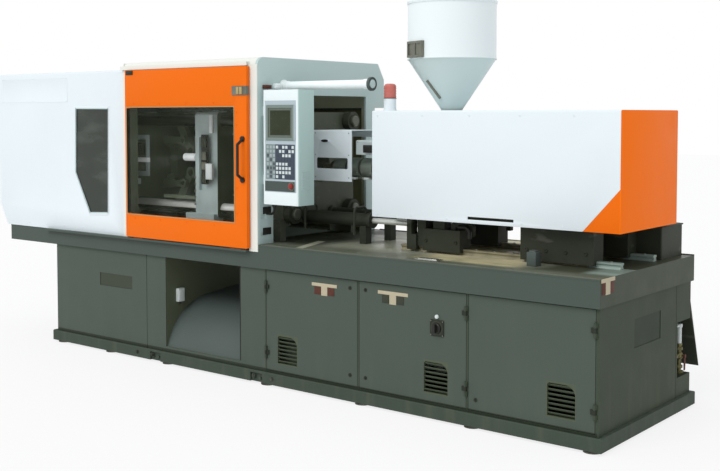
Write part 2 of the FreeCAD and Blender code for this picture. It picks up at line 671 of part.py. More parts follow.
def cabinet_door(span, on_right, vent_x):
    """Folded door pan with a louvred vent and the middle knuckles of its hinges."""
    left, right = span[0] + DOOR_GAP, span[1] - DOOR_GAP
    back = -HALF + DOOR_DEPTH - RUNNING_GAP
    pan = box(left, right, -HALF, back, DOOR_BOTTOM, DOOR_TOP)
    hollow = box(left + DOOR_SKIN, right - DOOR_SKIN, -HALF + DOOR_SKIN, back + 1,
                 DOOR_BOTTOM + DOOR_SKIN, DOOR_TOP - DOOR_SKIN)
    vent_top = VENT_BOTTOM + VENT_HEIGHT
    vent = prism("xz", [(vent_x, VENT_BOTTOM), (vent_x + VENT_WIDTH, VENT_BOTTOM),
                        (vent_x + VENT_WIDTH, vent_top, VENT_ARCH), (vent_x, vent_top, VENT_ARCH / 4)],
                 -HALF - 1, back + 1)
    frame_rim = prism("xz", [(vent_x - 6, VENT_BOTTOM - 6), (vent_x + VENT_WIDTH + 6, VENT_BOTTOM - 6),
                             (vent_x + VENT_WIDTH + 6, vent_top + 6, VENT_ARCH + 6),
                             (vent_x - 6, vent_top + 6, VENT_ARCH / 4 + 6)], -HALF + DOOR_SKIN, back)
    x, y = hinge_pin_place(span, on_right)
    side = -1 if on_right else 1
    knuckles, bores = [], []
    for z in HINGE_HEIGHTS:
        low = z - KNUCKLE_LENGTH / 2
        knuckles.append(rod((x, y, low + RUNNING_GAP), ALONG_Z, KNUCKLE_LENGTH - 2 * RUNNING_GAP, KNUCKLE_RADIUS))
        leaf = sorted((x + side * 2.0, x + side * 3 * KNUCKLE_RADIUS))
        knuckles.append(box(leaf[0], leaf[1], y, -HALF, low + RUNNING_GAP, low + KNUCKLE_LENGTH - RUNNING_GAP))
        bores.append(rod((x, y, low - 1), ALONG_Z, KNUCKLE_LENGTH + 2, HINGE_PIN_RADIUS + PIN_CLEARANCE))
    skin = pan.cut(hollow).fuse(frame_rim).cut(vent)
    pitch = VENT_HEIGHT / LOUVRES
    blades = []
    for k in range(LOUVRES):
        z = VENT_BOTTOM + (k + 0.5) * pitch
        inset = VENT_ARCH * 0.30 if k == LOUVRES - 1 else 0.0
        blade = prism("yz", [(-HALF + 3, z + 5), (-HALF + 5, z + 7), (back - 1, z - 5), (back - 3, z - 7)],
                      vent_x - 3, vent_x + VENT_WIDTH + 3 - inset)
        blades.append(blade)
    return joined([skin] + blades + knuckles).cut(bores)


def switch_centre():
    """x and z of the main switch on the middle door."""
    return door_spans()[1][1] - SWITCH_FROM_EDGE, SWITCH_HEIGHT


SWITCH_PLATE_RISE = 5.0


def cabinet_door_1():
    """Tank door, hinged at its left."""
    span = door_spans()[0]
    return cabinet_door(span, False, span[0] + 96.0)


def cabinet_door_2():
    """Switchgear door, hinged at its right, with the raised plate of the main switch."""
    span = door_spans()[1]
    x, z = switch_centre()
    half = SWITCH_PLATE / 2
    plate = prism("xz", [(x - half, z - half, 10.0), (x + half, z - half, 10.0), (x + half, z + half, 10.0),
                         (x - half, z + half, 10.0)], -HALF - SWITCH_PLATE_RISE, -HALF)
    return joined([cabinet_door(span, True, span[1] - 122.0 - VENT_WIDTH), plate])


def cabinet_door_3():
    """Pump room door, hinged at its right."""
    span = door_spans()[2]
    return cabinet_door(span, True, span[1] - 112.0 - VENT_WIDTH)


def main_switch_knob():
    """Rotary handle of the main switch: a round skirt with a grip across it."""
    x, z = switch_centre()
    face = -HALF - SWITCH_PLATE_RISE - RUNNING_GAP
    skirt = turned([(0, 0), (SWITCH_RADIUS, 0), (SWITCH_RADIUS, 8), (SWITCH_RADIUS - 6, 13), (0, 13)],
                   (x, face, z), -ALONG_Y)
    grip = prism("xz", [(x - 8, z - SWITCH_RADIUS + 3, 7.0), (x + 8, z - SWITCH_RADIUS + 3, 7.0),
                        (x + 8, z + SWITCH_RADIUS - 3, 4.0), (x - 8, z + SWITCH_RADIUS - 3, 4.0)],
                 face - 34.0, face - 10.0)
    return joined([skirt, grip])


def electrical_panel():
    """Mounting plate across the switchgear room, with rows of contactors, relays and trunking."""
    left, right = door_spans()[1]
    left, right = left + SHEET, right - SHEET
    back = -HALF + DOOR_DEPTH + PANEL_SETBACK
    pieces = [box(left, right, back - 30.0, back, PANEL_BOTTOM, PANEL_TOP)]
    for row, z in enumerate((PANEL_BOTTOM + 60.0, PANEL_BOTTOM + 220.0, PANEL_BOTTOM + 380.0)):
        pieces.append(box(left + 60, right - 60, back - 70.0, back - 30.0, z - 40, z - 16))
        count, width = 6 - row, 62.0 + 14 * row
        for k in range(count):
            x = left + 80 + k * (width + 22)
            pieces.append(box(x, x + width, back - 110.0 - 16 * row, back - 30.0, z, z + 78))
    return joined(pieces)


def pump_motor():
    """Electric motor and oil pump on their feet in the pump room."""
    left, right = door_spans()[2]
    x0 = left + 90.0
    y = -60.0
    floor = PLINTH_TOP + SHEET
    z = PUMP_AXIS_Z
    r = PUMP_MOTOR_RADIUS
    profile = [(0, 0), (r * 0.72, 0), (r * 0.9, 14), (r * 0.9, 60), (r, 60)]
    pitch = (PUMP_MOTOR_LENGTH - 130.0) / MOTOR_FINS
    for k in range(MOTOR_FINS):
        h = 64 + k * pitch
        profile += [(r, h), (r, h + pitch * 0.45), (r * 0.93, h + pitch * 0.45), (r * 0.93, h + pitch * 0.95)]
    tail = PUMP_MOTOR_LENGTH
    profile += [(r, tail - 60), (r * 0.96, tail - 20), (r * 0.5, tail), (PUMP_RADIUS, tail),
                (PUMP_RADIUS, tail + PUMP_LENGTH), (0, tail + PUMP_LENGTH)]
    motor = turned(profile, (x0, y, z), ALONG_X)
    feet = [box(x0 + dx, x0 + dx + 60.0, y - r * 0.8, y + r * 0.8, floor, z - r * 0.5) for dx in (90.0, 260.0)]
    terminal = box(x0 + 130, x0 + 250, y - 55, y + 55, z + r * 0.8, z + r + 55)
    return joined([motor, terminal] + feet)


# ---- water corner -----------------------------------------------------------------------------
def water_place():
    """x and y of the upright water pipe."""
    return -WATER_POCKET_LENGTH * 0.35, HALF - 40.0


VALVE_Z = WATER_POCKET_BOTTOM + 100.0


def water_manifold():
    """Brass valve body on its supply pipe, standing on the pocket's floor."""
    x, y = water_place()
    top = VALVE_Z + 72.0
    stand = rod((x, y, WATER_POCKET_BOTTOM), ALONG_Z, top - WATER_POCKET_BOTTOM, WATER_PIPE_RADIUS)
    flange = rod((x, y, WATER_POCKET_BOTTOM), ALONG_Z, 10.0, 2.1 * WATER_PIPE_RADIUS)
    body = Part.makeSphere(VALVE_RADIUS, Vector(x, y, VALVE_Z))
    stem = rod((x, y, VALVE_Z), ALONG_X, VALVE_RADIUS + 6.0, 8.0)
    branch = rod((x, HALF - WATER_POCKET_WIDTH, VALVE_Z), ALONG_Y, y - HALF + WATER_POCKET_WIDTH,
                 WATER_PIPE_RADIUS)
    collar = rod((x, y, top - 12.0), ALONG_Z, 12.0, SIGHT_TUBE_RADIUS + 4)
    return joined([stand, flange, body, stem, branch, collar])


def flow_meter():
    """Sight tube with its cap and the return elbow to the pocket's side wall."""
    x, y = water_place()
    low = VALVE_Z + 72.0
    top = low + SIGHT_TUBE_LENGTH
    tube = rod((x, y, low), ALONG_Z, SIGHT_TUBE_LENGTH, SIGHT_TUBE_RADIUS)
    cap = rod((x, y, top - 16.0), ALONG_Z, 20.0, SIGHT_TUBE_RADIUS + 4)
    elbow = rod((x, HALF - WATER_POCKET_WIDTH, top - 6.0), ALONG_Y, y - HALF + WATER_POCKET_WIDTH, 8.0)
    return joined([tube, cap, elbow])


def valve_lever():
    """Quarter-turn lever of the water valve."""
    x, y = water_place()
    face = x + VALVE_RADIUS + 6.0 + RUNNING_GAP
    hub = rod((face, y, VALVE_Z), ALONG_X, 9.0, 12.0)
    arm = prism("yz", [(y - 10, VALVE_Z - 4), (y + 10, VALVE_Z - 4), (y + 8, VALVE_Z - 84, 7.0),
                       (y - 8, VALVE_Z - 84, 7.0)], face + 1.0, face + 6.0)
    return joined([hub, arm])


def water_guard():
    """Folded sheet that slants out over the water connections behind the machine."""
    t = 4.0
    x0, x1 = -WATER_POCKET_LENGTH - 160.0, -4.0
    lip = 40.0
    profile = [(HALF, GUARD_HIGH - lip), (HALF, GUARD_HIGH + lip), (HALF + t, GUARD_HIGH + lip),
               (HALF + t, GUARD_HIGH), (HALF + GUARD_REACH, GUARD_LOW), (HALF + GUARD_REACH - t, GUARD_LOW)]
    sheet = prism("yz", profile, x0, x1)
    return sheet


# ---- clamp ------------------------------------------------------------------------------------
def bar_holes(x0, x1, clearance):
    """Cutters for the four tie bars."""
    return [rod((x0 - 1, y, z), ALONG_X, x1 - x0 + 2, TIE_BAR_RADIUS + clearance)
            for y, z in four_corners(TIE_BAR_SPACING)]


def mould_holes(x, towards):
    """Cutters for the tapped holes that hold a mould on a platen's face."""
    return [rod((x, y, z), ALONG_X * towards, MOULD_HOLE_DEPTH, MOULD_HOLE_RADIUS)
            for y, z in four_corners(MOULD_HOLE_SPACING)]


def platen_block(x0, x1):
    """Square cast platen with rounded long edges."""
    half = PLATEN_SIZE / 2
    return rounded_box(x0, x1, -half, half, CLAMP_AXIS_Z - half, CLAMP_AXIS_Z + half, PLATEN_CORNER)


def platen_feet(x0, x1, bottom, tail=0.0):
    """Two feet below a platen's lower corners, carried back behind it by the tail."""
    half = PLATEN_SIZE / 2
    top = CLAMP_AXIS_Z - half + PLATEN_CORNER
    foot = box(x0 - tail, x1, half - FOOT_WIDTH / 2 + 4.0, half + FOOT_WIDTH / 2, bottom, top)
    neck = box(x0, x1, half - FOOT_WIDTH, half, CLAMP_AXIS_Z - half - 30.0, top + 20.0)
    return both_sides(foot) + both_sides(neck)


def fixed_platen():
    """Platen that carries the nozzle side of the mould."""
    body = joined([platen_block(X_FIXED_FACE, X_FIXED)] + platen_feet(X_FIXED_FACE, X_FIXED, BED_TOP))
    face = X_FIXED_FACE
    locating = rod((face - 1, 0, CLAMP_AXIS_Z), ALONG_X, LOCATING_DEPTH + 1, LOCATING_RADIUS)
    nozzle = rod((face - 1, 0, CLAMP_AXIS_Z), ALONG_X, FIXED_PLATEN_THICKNESS + 2, NOZZLE_HOLE_RADIUS)
    cone = turned([(0, 0), (NOZZLE_CONE_RADIUS, 0), (NOZZLE_HOLE_RADIUS, NOZZLE_CONE_DEPTH),
                   (0, NOZZLE_CONE_DEPTH)], (X_FIXED, 0, CLAMP_AXIS_Z), -ALONG_X)
    return body.cut(bar_holes(X_FIXED_FACE, X_FIXED, BAR_CLEARANCE) + mould_holes(face, 1)
                    + [locating, nozzle, cone])


def moving_platen():
    """Platen that closes the mould, with the lugs of the front links behind it."""
    half = PLATEN_SIZE / 2
    x0, x1 = X_MOVING_BACK, X_MOVING_FACE
    pieces = [platen_block(x0, x1)]
    pieces += platen_feet(x0, x1 - 12.0, WAY_TOP + RUNNING_GAP, FOOT_LENGTH - MOVING_PLATEN_THICKNESS)
    lug = lug_pair(X_FRONT_PIVOT, x0, MIDDLE_PLATE)
    pieces += lug + [below(piece) for piece in lug]
    pins = [pivot_pin(X_FRONT_PIVOT, MIDDLE_PLATE[1], PIVOT_PIN_RADIUS)]
    pieces += pins + [below(pin) for pin in pins]
    body = joined(pieces)
    cuts = bar_holes(x0, x1, BAR_CLEARANCE) + mould_holes(x1, -1)
    for y, z in four_corners(EJECTOR_ROD_SPACING):
        cuts.append(rod((x0 - 1, y, z), ALONG_X, x1 - x0 + 2, EJECTOR_ROD_RADIUS + ROD_CLEARANCE))
    for s in (-1, 1):
        outer, inner = s * (half + 1), s * (half - SIDE_POCKET_DEPTH)
        cuts.append(box(x0 + 38.0, x0 + 108.0, min(outer, inner), max(outer, inner),
                        CLAMP_AXIS_Z - 175.0, CLAMP_AXIS_Z + 190.0))
    return body.cut(cuts)


def lug_pair(x_pivot, x_face, plate):
    """Two ears that carry an upper pivot, one each side of the middle."""
    z = CLAMP_AXIS_Z + PIVOT_Z
    step = 1 if x_face > x_pivot else -1
    low, high = plate
    ear = rod((x_pivot, low, z), ALONG_Y, high - low, EYE_RADIUS)
    left, right = sorted((x_pivot, x_face + step * 2.0))
    web = box(left, right, low, high, z - EYE_RADIUS, min(z + EYE_RADIUS, CLAMP_AXIS_Z + PLATEN_SIZE / 2 + 10.0))
    ear = ear.fuse(web)
    return both_sides(ear)


def pivot_pin(x, half_length, radius):
    """Pin across the machine at an upper pivot."""
    return rod((x, -half_length, CLAMP_AXIS_Z + PIVOT_Z), ALONG_Y, 2 * half_length, radius)


def end_platen():
    """Platen that takes the clamp force at the far end, with the rear links' lugs and pins."""
    pieces = [platen_block(X_END_BACK, X_END_FACE)]
    pieces += platen_feet(X_END_BACK, X_END_FACE, WAY_TOP)
    lug = lug_pair(X_REAR_PIVOT, X_END_FACE, OUTER_PLATE)
    pieces += lug + [below(piece) for piece in lug]
    pin = pivot_pin(X_REAR_PIVOT, OUTER_PLATE[1], PIVOT_PIN_RADIUS)
    pieces += [pin, below(pin)]
    body = joined(pieces)
    rod_hole = rod((X_END_BACK - 1, 0, CLAMP_AXIS_Z), ALONG_X, END_PLATEN_THICKNESS + 2,
                   CLAMP_ROD_RADIUS + ROD_CLEARANCE)
    return body.cut(bar_holes(X_END_BACK, X_END_FACE, BAR_CLEARANCE) + [rod_hole])


def tie_bars():
    """Four bars that hold the fixed platen and the end platen together."""
    x0 = X_END_BACK - NUT_LENGTH - 45.0
    x1 = X_FIXED + NUT_LENGTH + 20.0
    bevel = 6.0
    profile = [(0, 0), (TIE_BAR_RADIUS - bevel, 0), (TIE_BAR_RADIUS, bevel), (TIE_BAR_RADIUS, x1 - x0 - bevel),
               (TIE_BAR_RADIUS - bevel, x1 - x0), (0, x1 - x0)]
    return group([turned(profile, (x0, y, z), ALONG_X) for y, z in four_corners(TIE_BAR_SPACING)])


def tie_bar_nuts():
    """Round nuts at both ends of each tie bar."""
    nuts = []
    for start in (X_END_BACK - NUT_LENGTH, X_FIXED):
        for y, z in four_corners(TIE_BAR_SPACING):
            nut = pipe((start, y, z), ALONG_X, NUT_LENGTH, NUT_RADIUS, TIE_BAR_RADIUS)
            slots = [box(start + 12, start + NUT_LENGTH - 12, y - 7, y + 7, z + s * NUT_RADIUS - 6,
                         z + s * NUT_RADIUS + 6) for s in (-1, 1)]
            nuts.append(nut.cut(slots))
    return group(nuts)


def clamp_cylinder():
    """Hydraulic cylinder behind the end platen, with a flange, end cap and oil ports."""
    length, r = CYLINDER_LENGTH, CYLINDER_RADIUS
    profile = [(CLAMP_ROD_RADIUS + ROD_CLEARANCE, 0), (r + 38, 0), (r + 38, 32), (r, 32),
               (r, length - 60), (r + 14, length - 60), (r + 14, length - 10), (r + 4, length), (0, length),
               (0, length - CYLINDER_CAP), (CYLINDER_BORE, length - CYLINDER_CAP), (CYLINDER_BORE, CYLINDER_CAP),
               (CLAMP_ROD_RADIUS + ROD_CLEARANCE, CYLINDER_CAP)]
    body = turned(profile, (X_END_BACK, 0, CLAMP_AXIS_Z), -ALONG_X)
    ports = [rod((X_END_BACK - dx, 0, CLAMP_AXIS_Z + r - 6), ALONG_Z, 44.0, 22.0)
             for dx in (90.0, length - 100.0)]
    return joined([body] + ports)


def link_plates(start, end, start_radius, end_radius, plate, bores):
    """Pair of link plates above the clamp's axis, between two points given in x and z."""
    low, high = plate
    (x0, z0), (x1, z1) = start, end
    run = Vector(x1 - x0, 0, z1 - z0)
    side = Vector(-run.z, 0, run.x).normalize()
    waist = 0.72

    def corner(point, radius, sign):
        return Vector(point[0], low, CLAMP_AXIS_Z + point[1]) + side * (sign * radius * waist)

    loop = [corner(start, start_radius, 1), corner(end, end_radius, 1), corner(end, end_radius, -1),
            corner(start, start_radius, -1)]
    web = Part.Face(Part.makePolygon(loop + loop[:1])).extrude(ALONG_Y * (high - low))
    eyes = [rod((x, low, CLAMP_AXIS_Z + z), ALONG_Y, high - low, r)
            for (x, z), r in ((start, start_radius), (end, end_radius))]
    plate_solid = web.fuse(eyes)
    holes = [rod((x, low - 1, CLAMP_AXIS_Z + z), ALONG_Y, high - low + 2, r) for (x, z), r in bores]
    solid = plate_solid.cut(holes)
    return both_sides(solid)


def rear_links_upper():
    """Rear link plates, from the end platen's pin to the knee."""
    pivot = (X_REAR_PIVOT, PIVOT_Z)
    return group(link_plates(pivot, KNEE, EYE_RADIUS, KNEE_RADIUS, MIDDLE_PLATE,
                             [(pivot, PIVOT_PIN_RADIUS + PIN_CLEARANCE), (KNEE, PIVOT_PIN_RADIUS),
                              (TAP_OPEN, SMALL_PIN_RADIUS)]))


def front_links_upper():
    """Front link plates, from the moving platen's pin to the knee."""
    pivot = (X_FRONT_PIVOT, PIVOT_Z)
    return group(link_plates(pivot, KNEE, EYE_RADIUS, KNEE_RADIUS, INNER_PLATE,
                             [(pivot, PIVOT_PIN_RADIUS + PIN_CLEARANCE), (KNEE, PIVOT_PIN_RADIUS)]))


def cross_links_upper():
    """Short links from the crosshead's pins to the rear links."""
    pin = (X_CROSSHEAD, CROSSHEAD_PIN_Z)
    return group(link_plates(pin, TAP_OPEN, SMALL_EYE_RADIUS, SMALL_EYE_RADIUS, OUTER_PLATE,
                             [(pin, SMALL_PIN_RADIUS + PIN_CLEARANCE), (TAP_OPEN, SMALL_PIN_RADIUS)]))


def lower(links):
    """The lower set of links, mirrored through the clamp's axis."""
    return group([below(solid) for solid in links.Solids])


def crosshead():
    """Crosshead with its pins, on the clamp cylinder's rod and piston."""
    half = CROSSHEAD_THICKNESS / 2
    reach = CROSSHEAD_PIN_Z + SMALL_EYE_RADIUS
    width = MIDDLE_PLATE[1]
    z = CLAMP_AXIS_Z
    body = prism("xz", [(X_CROSSHEAD - half, z - reach, 16.0), (X_CROSSHEAD + half, z - reach, 16.0),
                        (X_CROSSHEAD + half, z + reach, 16.0), (X_CROSSHEAD - half, z + reach, 16.0)],
                 -width, width)
    waist = [box(X_CROSSHEAD - half - 1, X_CROSSHEAD + half + 1, s * 60.0 if s > 0 else -width - 1,
                 width + 1 if s > 0 else -60.0, z - 95, z + 95) for s in (-1, 1)]
    pins = [rod((X_CROSSHEAD, -OUTER_PLATE[1], z + s * CROSSHEAD_PIN_Z), ALONG_Y, 2 * OUTER_PLATE[1],
                SMALL_PIN_RADIUS) for s in (-1, 1)]
    piston_x = X_END_BACK - CYLINDER_CAP - (X_CROSSHEAD_SHUT - X_CROSSHEAD) - PISTON - 8.0
    piston_rod = rod((piston_x, 0, z), ALONG_X, X_CROSSHEAD - piston_x, CLAMP_ROD_RADIUS)
    piston = rod((piston_x, 0, z), ALONG_X, PISTON, CYLINDER_BORE - ROD_CLEARANCE)
    return joined([body.cut(waist), piston_rod, piston] + pins)


def ejector_plate():
    """Plate behind the moving platen with four rods that reach its face."""
    x1 = X_MOVING_BACK - EJECTOR_STROKE - 10.0
    x0 = x1 - EJECTOR_THICKNESS
    plate = rounded_box(x0, x1, -EJECTOR_HALF_Y, EJECTOR_HALF_Y, CLAMP_AXIS_Z - EJECTOR_HALF_Z,
                        CLAMP_AXIS_Z + EJECTOR_HALF_Z, 16.0)
    rods = [rod((x1, y, z), ALONG_X, X_MOVING_FACE - x1, EJECTOR_ROD_RADIUS)
            for y, z in four_corners(EJECTOR_ROD_SPACING)]
    hub = turned([(0, 0), (EJECTOR_HUB_RADIUS, 0), (EJECTOR_HUB_RADIUS, EJECTOR_HUB_LENGTH - 8),
                  (EJECTOR_HUB_RADIUS - 8, EJECTOR_HUB_LENGTH), (0, EJECTOR_HUB_LENGTH)],
                 (x0, 0, CLAMP_AXIS_Z), -ALONG_X)
    return joined([plate, hub] + rods)


# ---- enclosure --------------------------------------------------------------------------------
def arch_outline(grow=0.0):
    """Section of the enclosure seen along the machine; grow is negative for its inner face."""
    front = -BEAM_HALF - grow
    top = ARCH_TOP + grow
    rear = ARCH_REAR + grow
    slope = math.hypot(ARCH_CHAMFER_Y, ARCH_CHAMFER_Z)
    dy = grow * (slope - ARCH_CHAMFER_Z) / ARCH_CHAMFER_Y
    dz = grow * (slope - ARCH_CHAMFER_Y) / ARCH_CHAMFER_Z
    return front, top, rear, (rear - grow - ARCH_CHAMFER_Y + dy, top), (rear, ARCH_TOP - ARCH_CHAMFER_Z + dz)


def nozzle_arch():
    """End plate of the enclosure over the nozzle, with its large opening."""
    front, top, rear, high, low = arch_outline()
    plate = prism("yz", [(front, BED_TOP), (front, top, ARCH_CORNER), (high[0], high[1], 18.0),
                         (low[0], low[1], 18.0), (rear, ARCH_STEP_Z), (HALF, ARCH_STEP_Z), (HALF, BED_TOP)],
                  X_ARCH_BACK, X_ARCH)
    opening = prism("yz", [(-ARCH_OPENING_FRONT, BED_TOP - 1), (-ARCH_OPENING_FRONT, ARCH_OPENING_TOP, 12.0),
                           (ARCH_OPENING_REAR, ARCH_OPENING_TOP, 12.0), (ARCH_OPENING_REAR, BED_TOP - 1)],
                    X_ARCH_BACK - 1, X_ARCH + 1)
    slots = [box(X_ARCH - 6.0, X_ARCH + 1, -BEAM_HALF + 26.0, -BEAM_HALF + 74.0, z, z + 26.0)
             for z in ARCH_SLOTS]
    return plate.cut([opening] + slots)


def mould_guard_frame():
    """Posts and bent roof over the mould, with the rear gate's rail box."""
    front, top, rear, high, low = arch_outline()
    t = ROOF_SHEET
    inner_front, inner_top, inner_rear, inner_high, inner_low = arch_outline(-t)
    outer = prism("yz", [(front, PILLAR_TOP), (front, top, ARCH_CORNER), (high[0], high[1], 18.0),
                         (low[0], low[1], 18.0), (rear, ARCH_STEP_Z), (HALF, ARCH_STEP_Z), (HALF, PILLAR_TOP)],
                  X_COVER, X_ARCH_BACK)
    inner = prism("yz", [(inner_front, PILLAR_TOP - 1), (inner_front, inner_top, ARCH_CORNER - t),
                         (inner_high[0], inner_high[1], 16.0), (inner_low[0], inner_low[1], 16.0),
                         (inner_rear, ARCH_STEP_Z + t), (HALF + t, ARCH_STEP_Z + t), (HALF + t, PILLAR_TOP - 1)],
                  X_COVER - 1, X_ARCH_BACK + 1)
    tail = box(X_COVER - RAIL_BOX_TAIL, X_COVER, COVER_HALF, rear, ARCH_STEP_Z, low[1])
    tail_hollow = box(X_COVER - RAIL_BOX_TAIL + t, X_COVER + 1, COVER_HALF + t, rear - t, ARCH_STEP_Z + t,
                      low[1] - t)
    hanger = box(X_COVER - RAIL_BOX_TAIL + t, X_ARCH_BACK, GATE_INNER + GATE_THICKNESS / 2 - 9.0,
                 GATE_INNER + GATE_THICKNESS / 2 + 9.0, ARCH_STEP_Z - 1, ARCH_STEP_Z + t + 1)
    roof = outer.cut(inner)
    rail_box = tail.cut(tail_hollow)
    depth = PILLAR_DEPTH
    posts = []
    for s in (-1, 1):
        y0, y1 = sorted((s * BEAM_HALF, s * (BEAM_HALF - depth)))
        if s > 0:
            y0, y1 = HALF - depth, HALF
        for left, right in ((X_PILLAR, X_ARCH_BACK), (X_COVER, X_GATE_LEFT + GATE_OVERLAP)):
            post = box(left, right, y0, y1, BED_TOP, PILLAR_TOP)
            posts.append(post.cut(box(left + 5, right - 5, y0 + 5, y1 - 5, BED_TOP - 1, PILLAR_TOP - 5)))
        posts.append(box(X_COVER, X_ARCH_BACK, y0, y1, PILLAR_TOP - 45.0, PILLAR_TOP))
    strip = box(X_PILLAR, X_ARCH, -STRIP_FACE, -BEAM_HALF, BED_TOP - PILLAR_DROP, PILLAR_TOP + 9.0)
    left_strip = box(X_COVER, X_GATE_LEFT + GATE_OVERLAP, -STRIP_FACE, -BEAM_HALF, BED_TOP - PILLAR_DROP + 10.0,
                     PILLAR_TOP)
    floor_lap = box(X_COVER, X_ARCH_BACK, HALF - 2.0, HALF + 2.0, PILLAR_TOP - 30.0, PILLAR_TOP + 8.0)
    slot_y, slot = guide_line(), GUIDE_FIN / 2 + GUIDE_CLEARANCE
    guide = box(X_COVER, X_PILLAR, slot_y - slot - 5.0, -BEAM_HALF, GATE_TOP + 4.0, GATE_TOP + GUIDE_DEPTH + 8.0)
    groove = box(X_COVER - 1, X_PILLAR + 1, slot_y - slot, slot_y + slot, GATE_TOP, GATE_TOP + GUIDE_DEPTH + 2.0)
    return joined([roof, rail_box, strip, left_strip, floor_lap, guide] + posts).cut([hanger, groove])


def guide_line():
    """y of the slot above the front gate that keeps it upright."""
    return -GATE_INNER - GUIDE_FIN / 2 - 2.0


def gate_window_box():
    """Left, right, bottom and top of the opening in the front gate."""
    return (X_GATE_LEFT + WINDOW_LEFT, X_GATE_RIGHT - WINDOW_RIGHT, WINDOW_BOTTOM, WINDOW_TOP)


def front_gate():
    """Sliding safety gate: a folded frame round its window, on two shoes that run on the bed."""
    left, right, low, high = gate_window_box()
    outer = prism("xz", [(X_GATE_LEFT, GATE_BOTTOM, 8.0), (X_GATE_RIGHT, GATE_BOTTOM, 8.0),
                         (X_GATE_RIGHT, GATE_TOP, 8.0), (X_GATE_LEFT, GATE_TOP, 8.0)], -GATE_OUTER, -GATE_INNER)
    window = prism("xz", [(left, low, 14.0), (right, low, 14.0), (right, high, 14.0), (left, high, 14.0)],
                   -GATE_OUTER - 1, -GATE_INNER + 1)
    lap = 8.0
    rebate = box(left - lap, right + lap, -GATE_OUTER + 10.0, -GATE_OUTER + 10.0 + WINDOW_PANE, low - lap,
                 high + lap)
    shoes = []
    for x in (X_GATE_LEFT + 70.0, X_GATE_RIGHT - 70.0 - GATE_SHOE_LENGTH):
        shoes.append(box(x, x + GATE_SHOE_LENGTH, -GATE_OUTER + 6.0, -GATE_INNER - 4.0,
                         COVER_BOTTOM + RUNNING_GAP, GATE_BOTTOM + 2.0))
    fin_x, fin_y = X_GATE_RIGHT - 150.0, guide_line()
    fin = box(fin_x, fin_x + GATE_SHOE_LENGTH, fin_y - GUIDE_FIN / 2, fin_y + GUIDE_FIN / 2, GATE_TOP - 2.0,
              GATE_TOP + GUIDE_DEPTH)
    return joined([outer.cut([window, rebate]), fin] + shoes)


def front_gate_window():
    """Clear pane held in the front gate's rebate."""
    left, right, low, high = gate_window_box()
    lap = 8.0
    return box(left - lap, right + lap, -GATE_OUTER + 10.0, -GATE_OUTER + 10.0 + WINDOW_PANE, low - lap, high + lap)


def front_gate_handle():
    """Bow handle: a round bar with two raked ends and feet on the gate."""
    x = X_GATE_RIGHT - HANDLE_FROM_EDGE
    y0, y1 = -GATE_OUTER, -GATE_OUTER - HANDLE_REACH
    rake = 34.0
    points = [Vector(x, y0, HANDLE_TOP), Vector(x, y1, HANDLE_TOP - rake), Vector(x, y1, HANDLE_BOTTOM + rake),
              Vector(x, y0, HANDLE_BOTTOM)]
    pieces = []
    for start, end in zip(points, points[1:]):
        run = end - start
        pieces.append(rod(tuple(start), run.normalize(), (end - start).Length, HANDLE_RADIUS))
    pieces += [Part.makeSphere(HANDLE_RADIUS, p) for p in points[1:3]]
    pieces += [rod((x, y0, z), -ALONG_Y, 9.0, 2.0 * HANDLE_RADIUS) for z in (HANDLE_TOP, HANDLE_BOTTOM)]
    handle = joined(pieces)
    return handle.common(box(x - 60, x + 60, y1 - 30, y0, HANDLE_BOTTOM - 60, HANDLE_TOP + 60))


def rear_gate():
    """Plain gate on the far side, hung from the rail box on two hangers."""
    top = ARCH_STEP_Z - 6.0
    y0, y1 = GATE_INNER, GATE_OUTER
    mid = (y0 + y1) / 2
    panel = prism("xz", [(X_GATE_LEFT, GATE_BOTTOM, 8.0), (X_GATE_RIGHT, GATE_BOTTOM, 8.0),
                         (X_GATE_RIGHT, top, 8.0), (X_GATE_LEFT, top, 8.0)], y0, y1)
    tray = box(X_GATE_LEFT + 30, X_GATE_RIGHT - 30, y0 - 1, y1 - 4.0, GATE_BOTTOM + 30, top - 30)
    rib_x = (X_GATE_LEFT + X_GATE_RIGHT) / 2
    rib = box(rib_x - 20, rib_x + 20, y0, y1 - 4.0, GATE_BOTTOM + 30, top - 30)
    grip_z = (GATE_BOTTOM + top) / 2
    hangers = []
    for x in (X_GATE_LEFT + 90.0, X_GATE_RIGHT - 190.0):
        hangers.append(box(x, x + 100.0, mid - 4.0, mid + 4.0, top - 20.0, ARCH_STEP_Z + 30.0))
        hangers.append(box(x, x + 100.0, mid - 13.0, mid + 13.0, ARCH_STEP_Z + ROOF_SHEET + RUNNING_GAP,
                           ARCH_STEP_Z + ROOF_SHEET + 22.0))
    grip = box(X_GATE_RIGHT - 60.0, X_GATE_RIGHT - 36.0, y1 - 12.0, y1 + 1, grip_z - 120.0, grip_z + 120.0)
    return joined([panel.cut([tray, grip]), rib] + hangers)


def cover_corner(point):
    """A corner of the clamp cover's window, as x and z."""
    return X_COVER - COVER_WINDOW_FROM_EDGE + point[0], point[1]


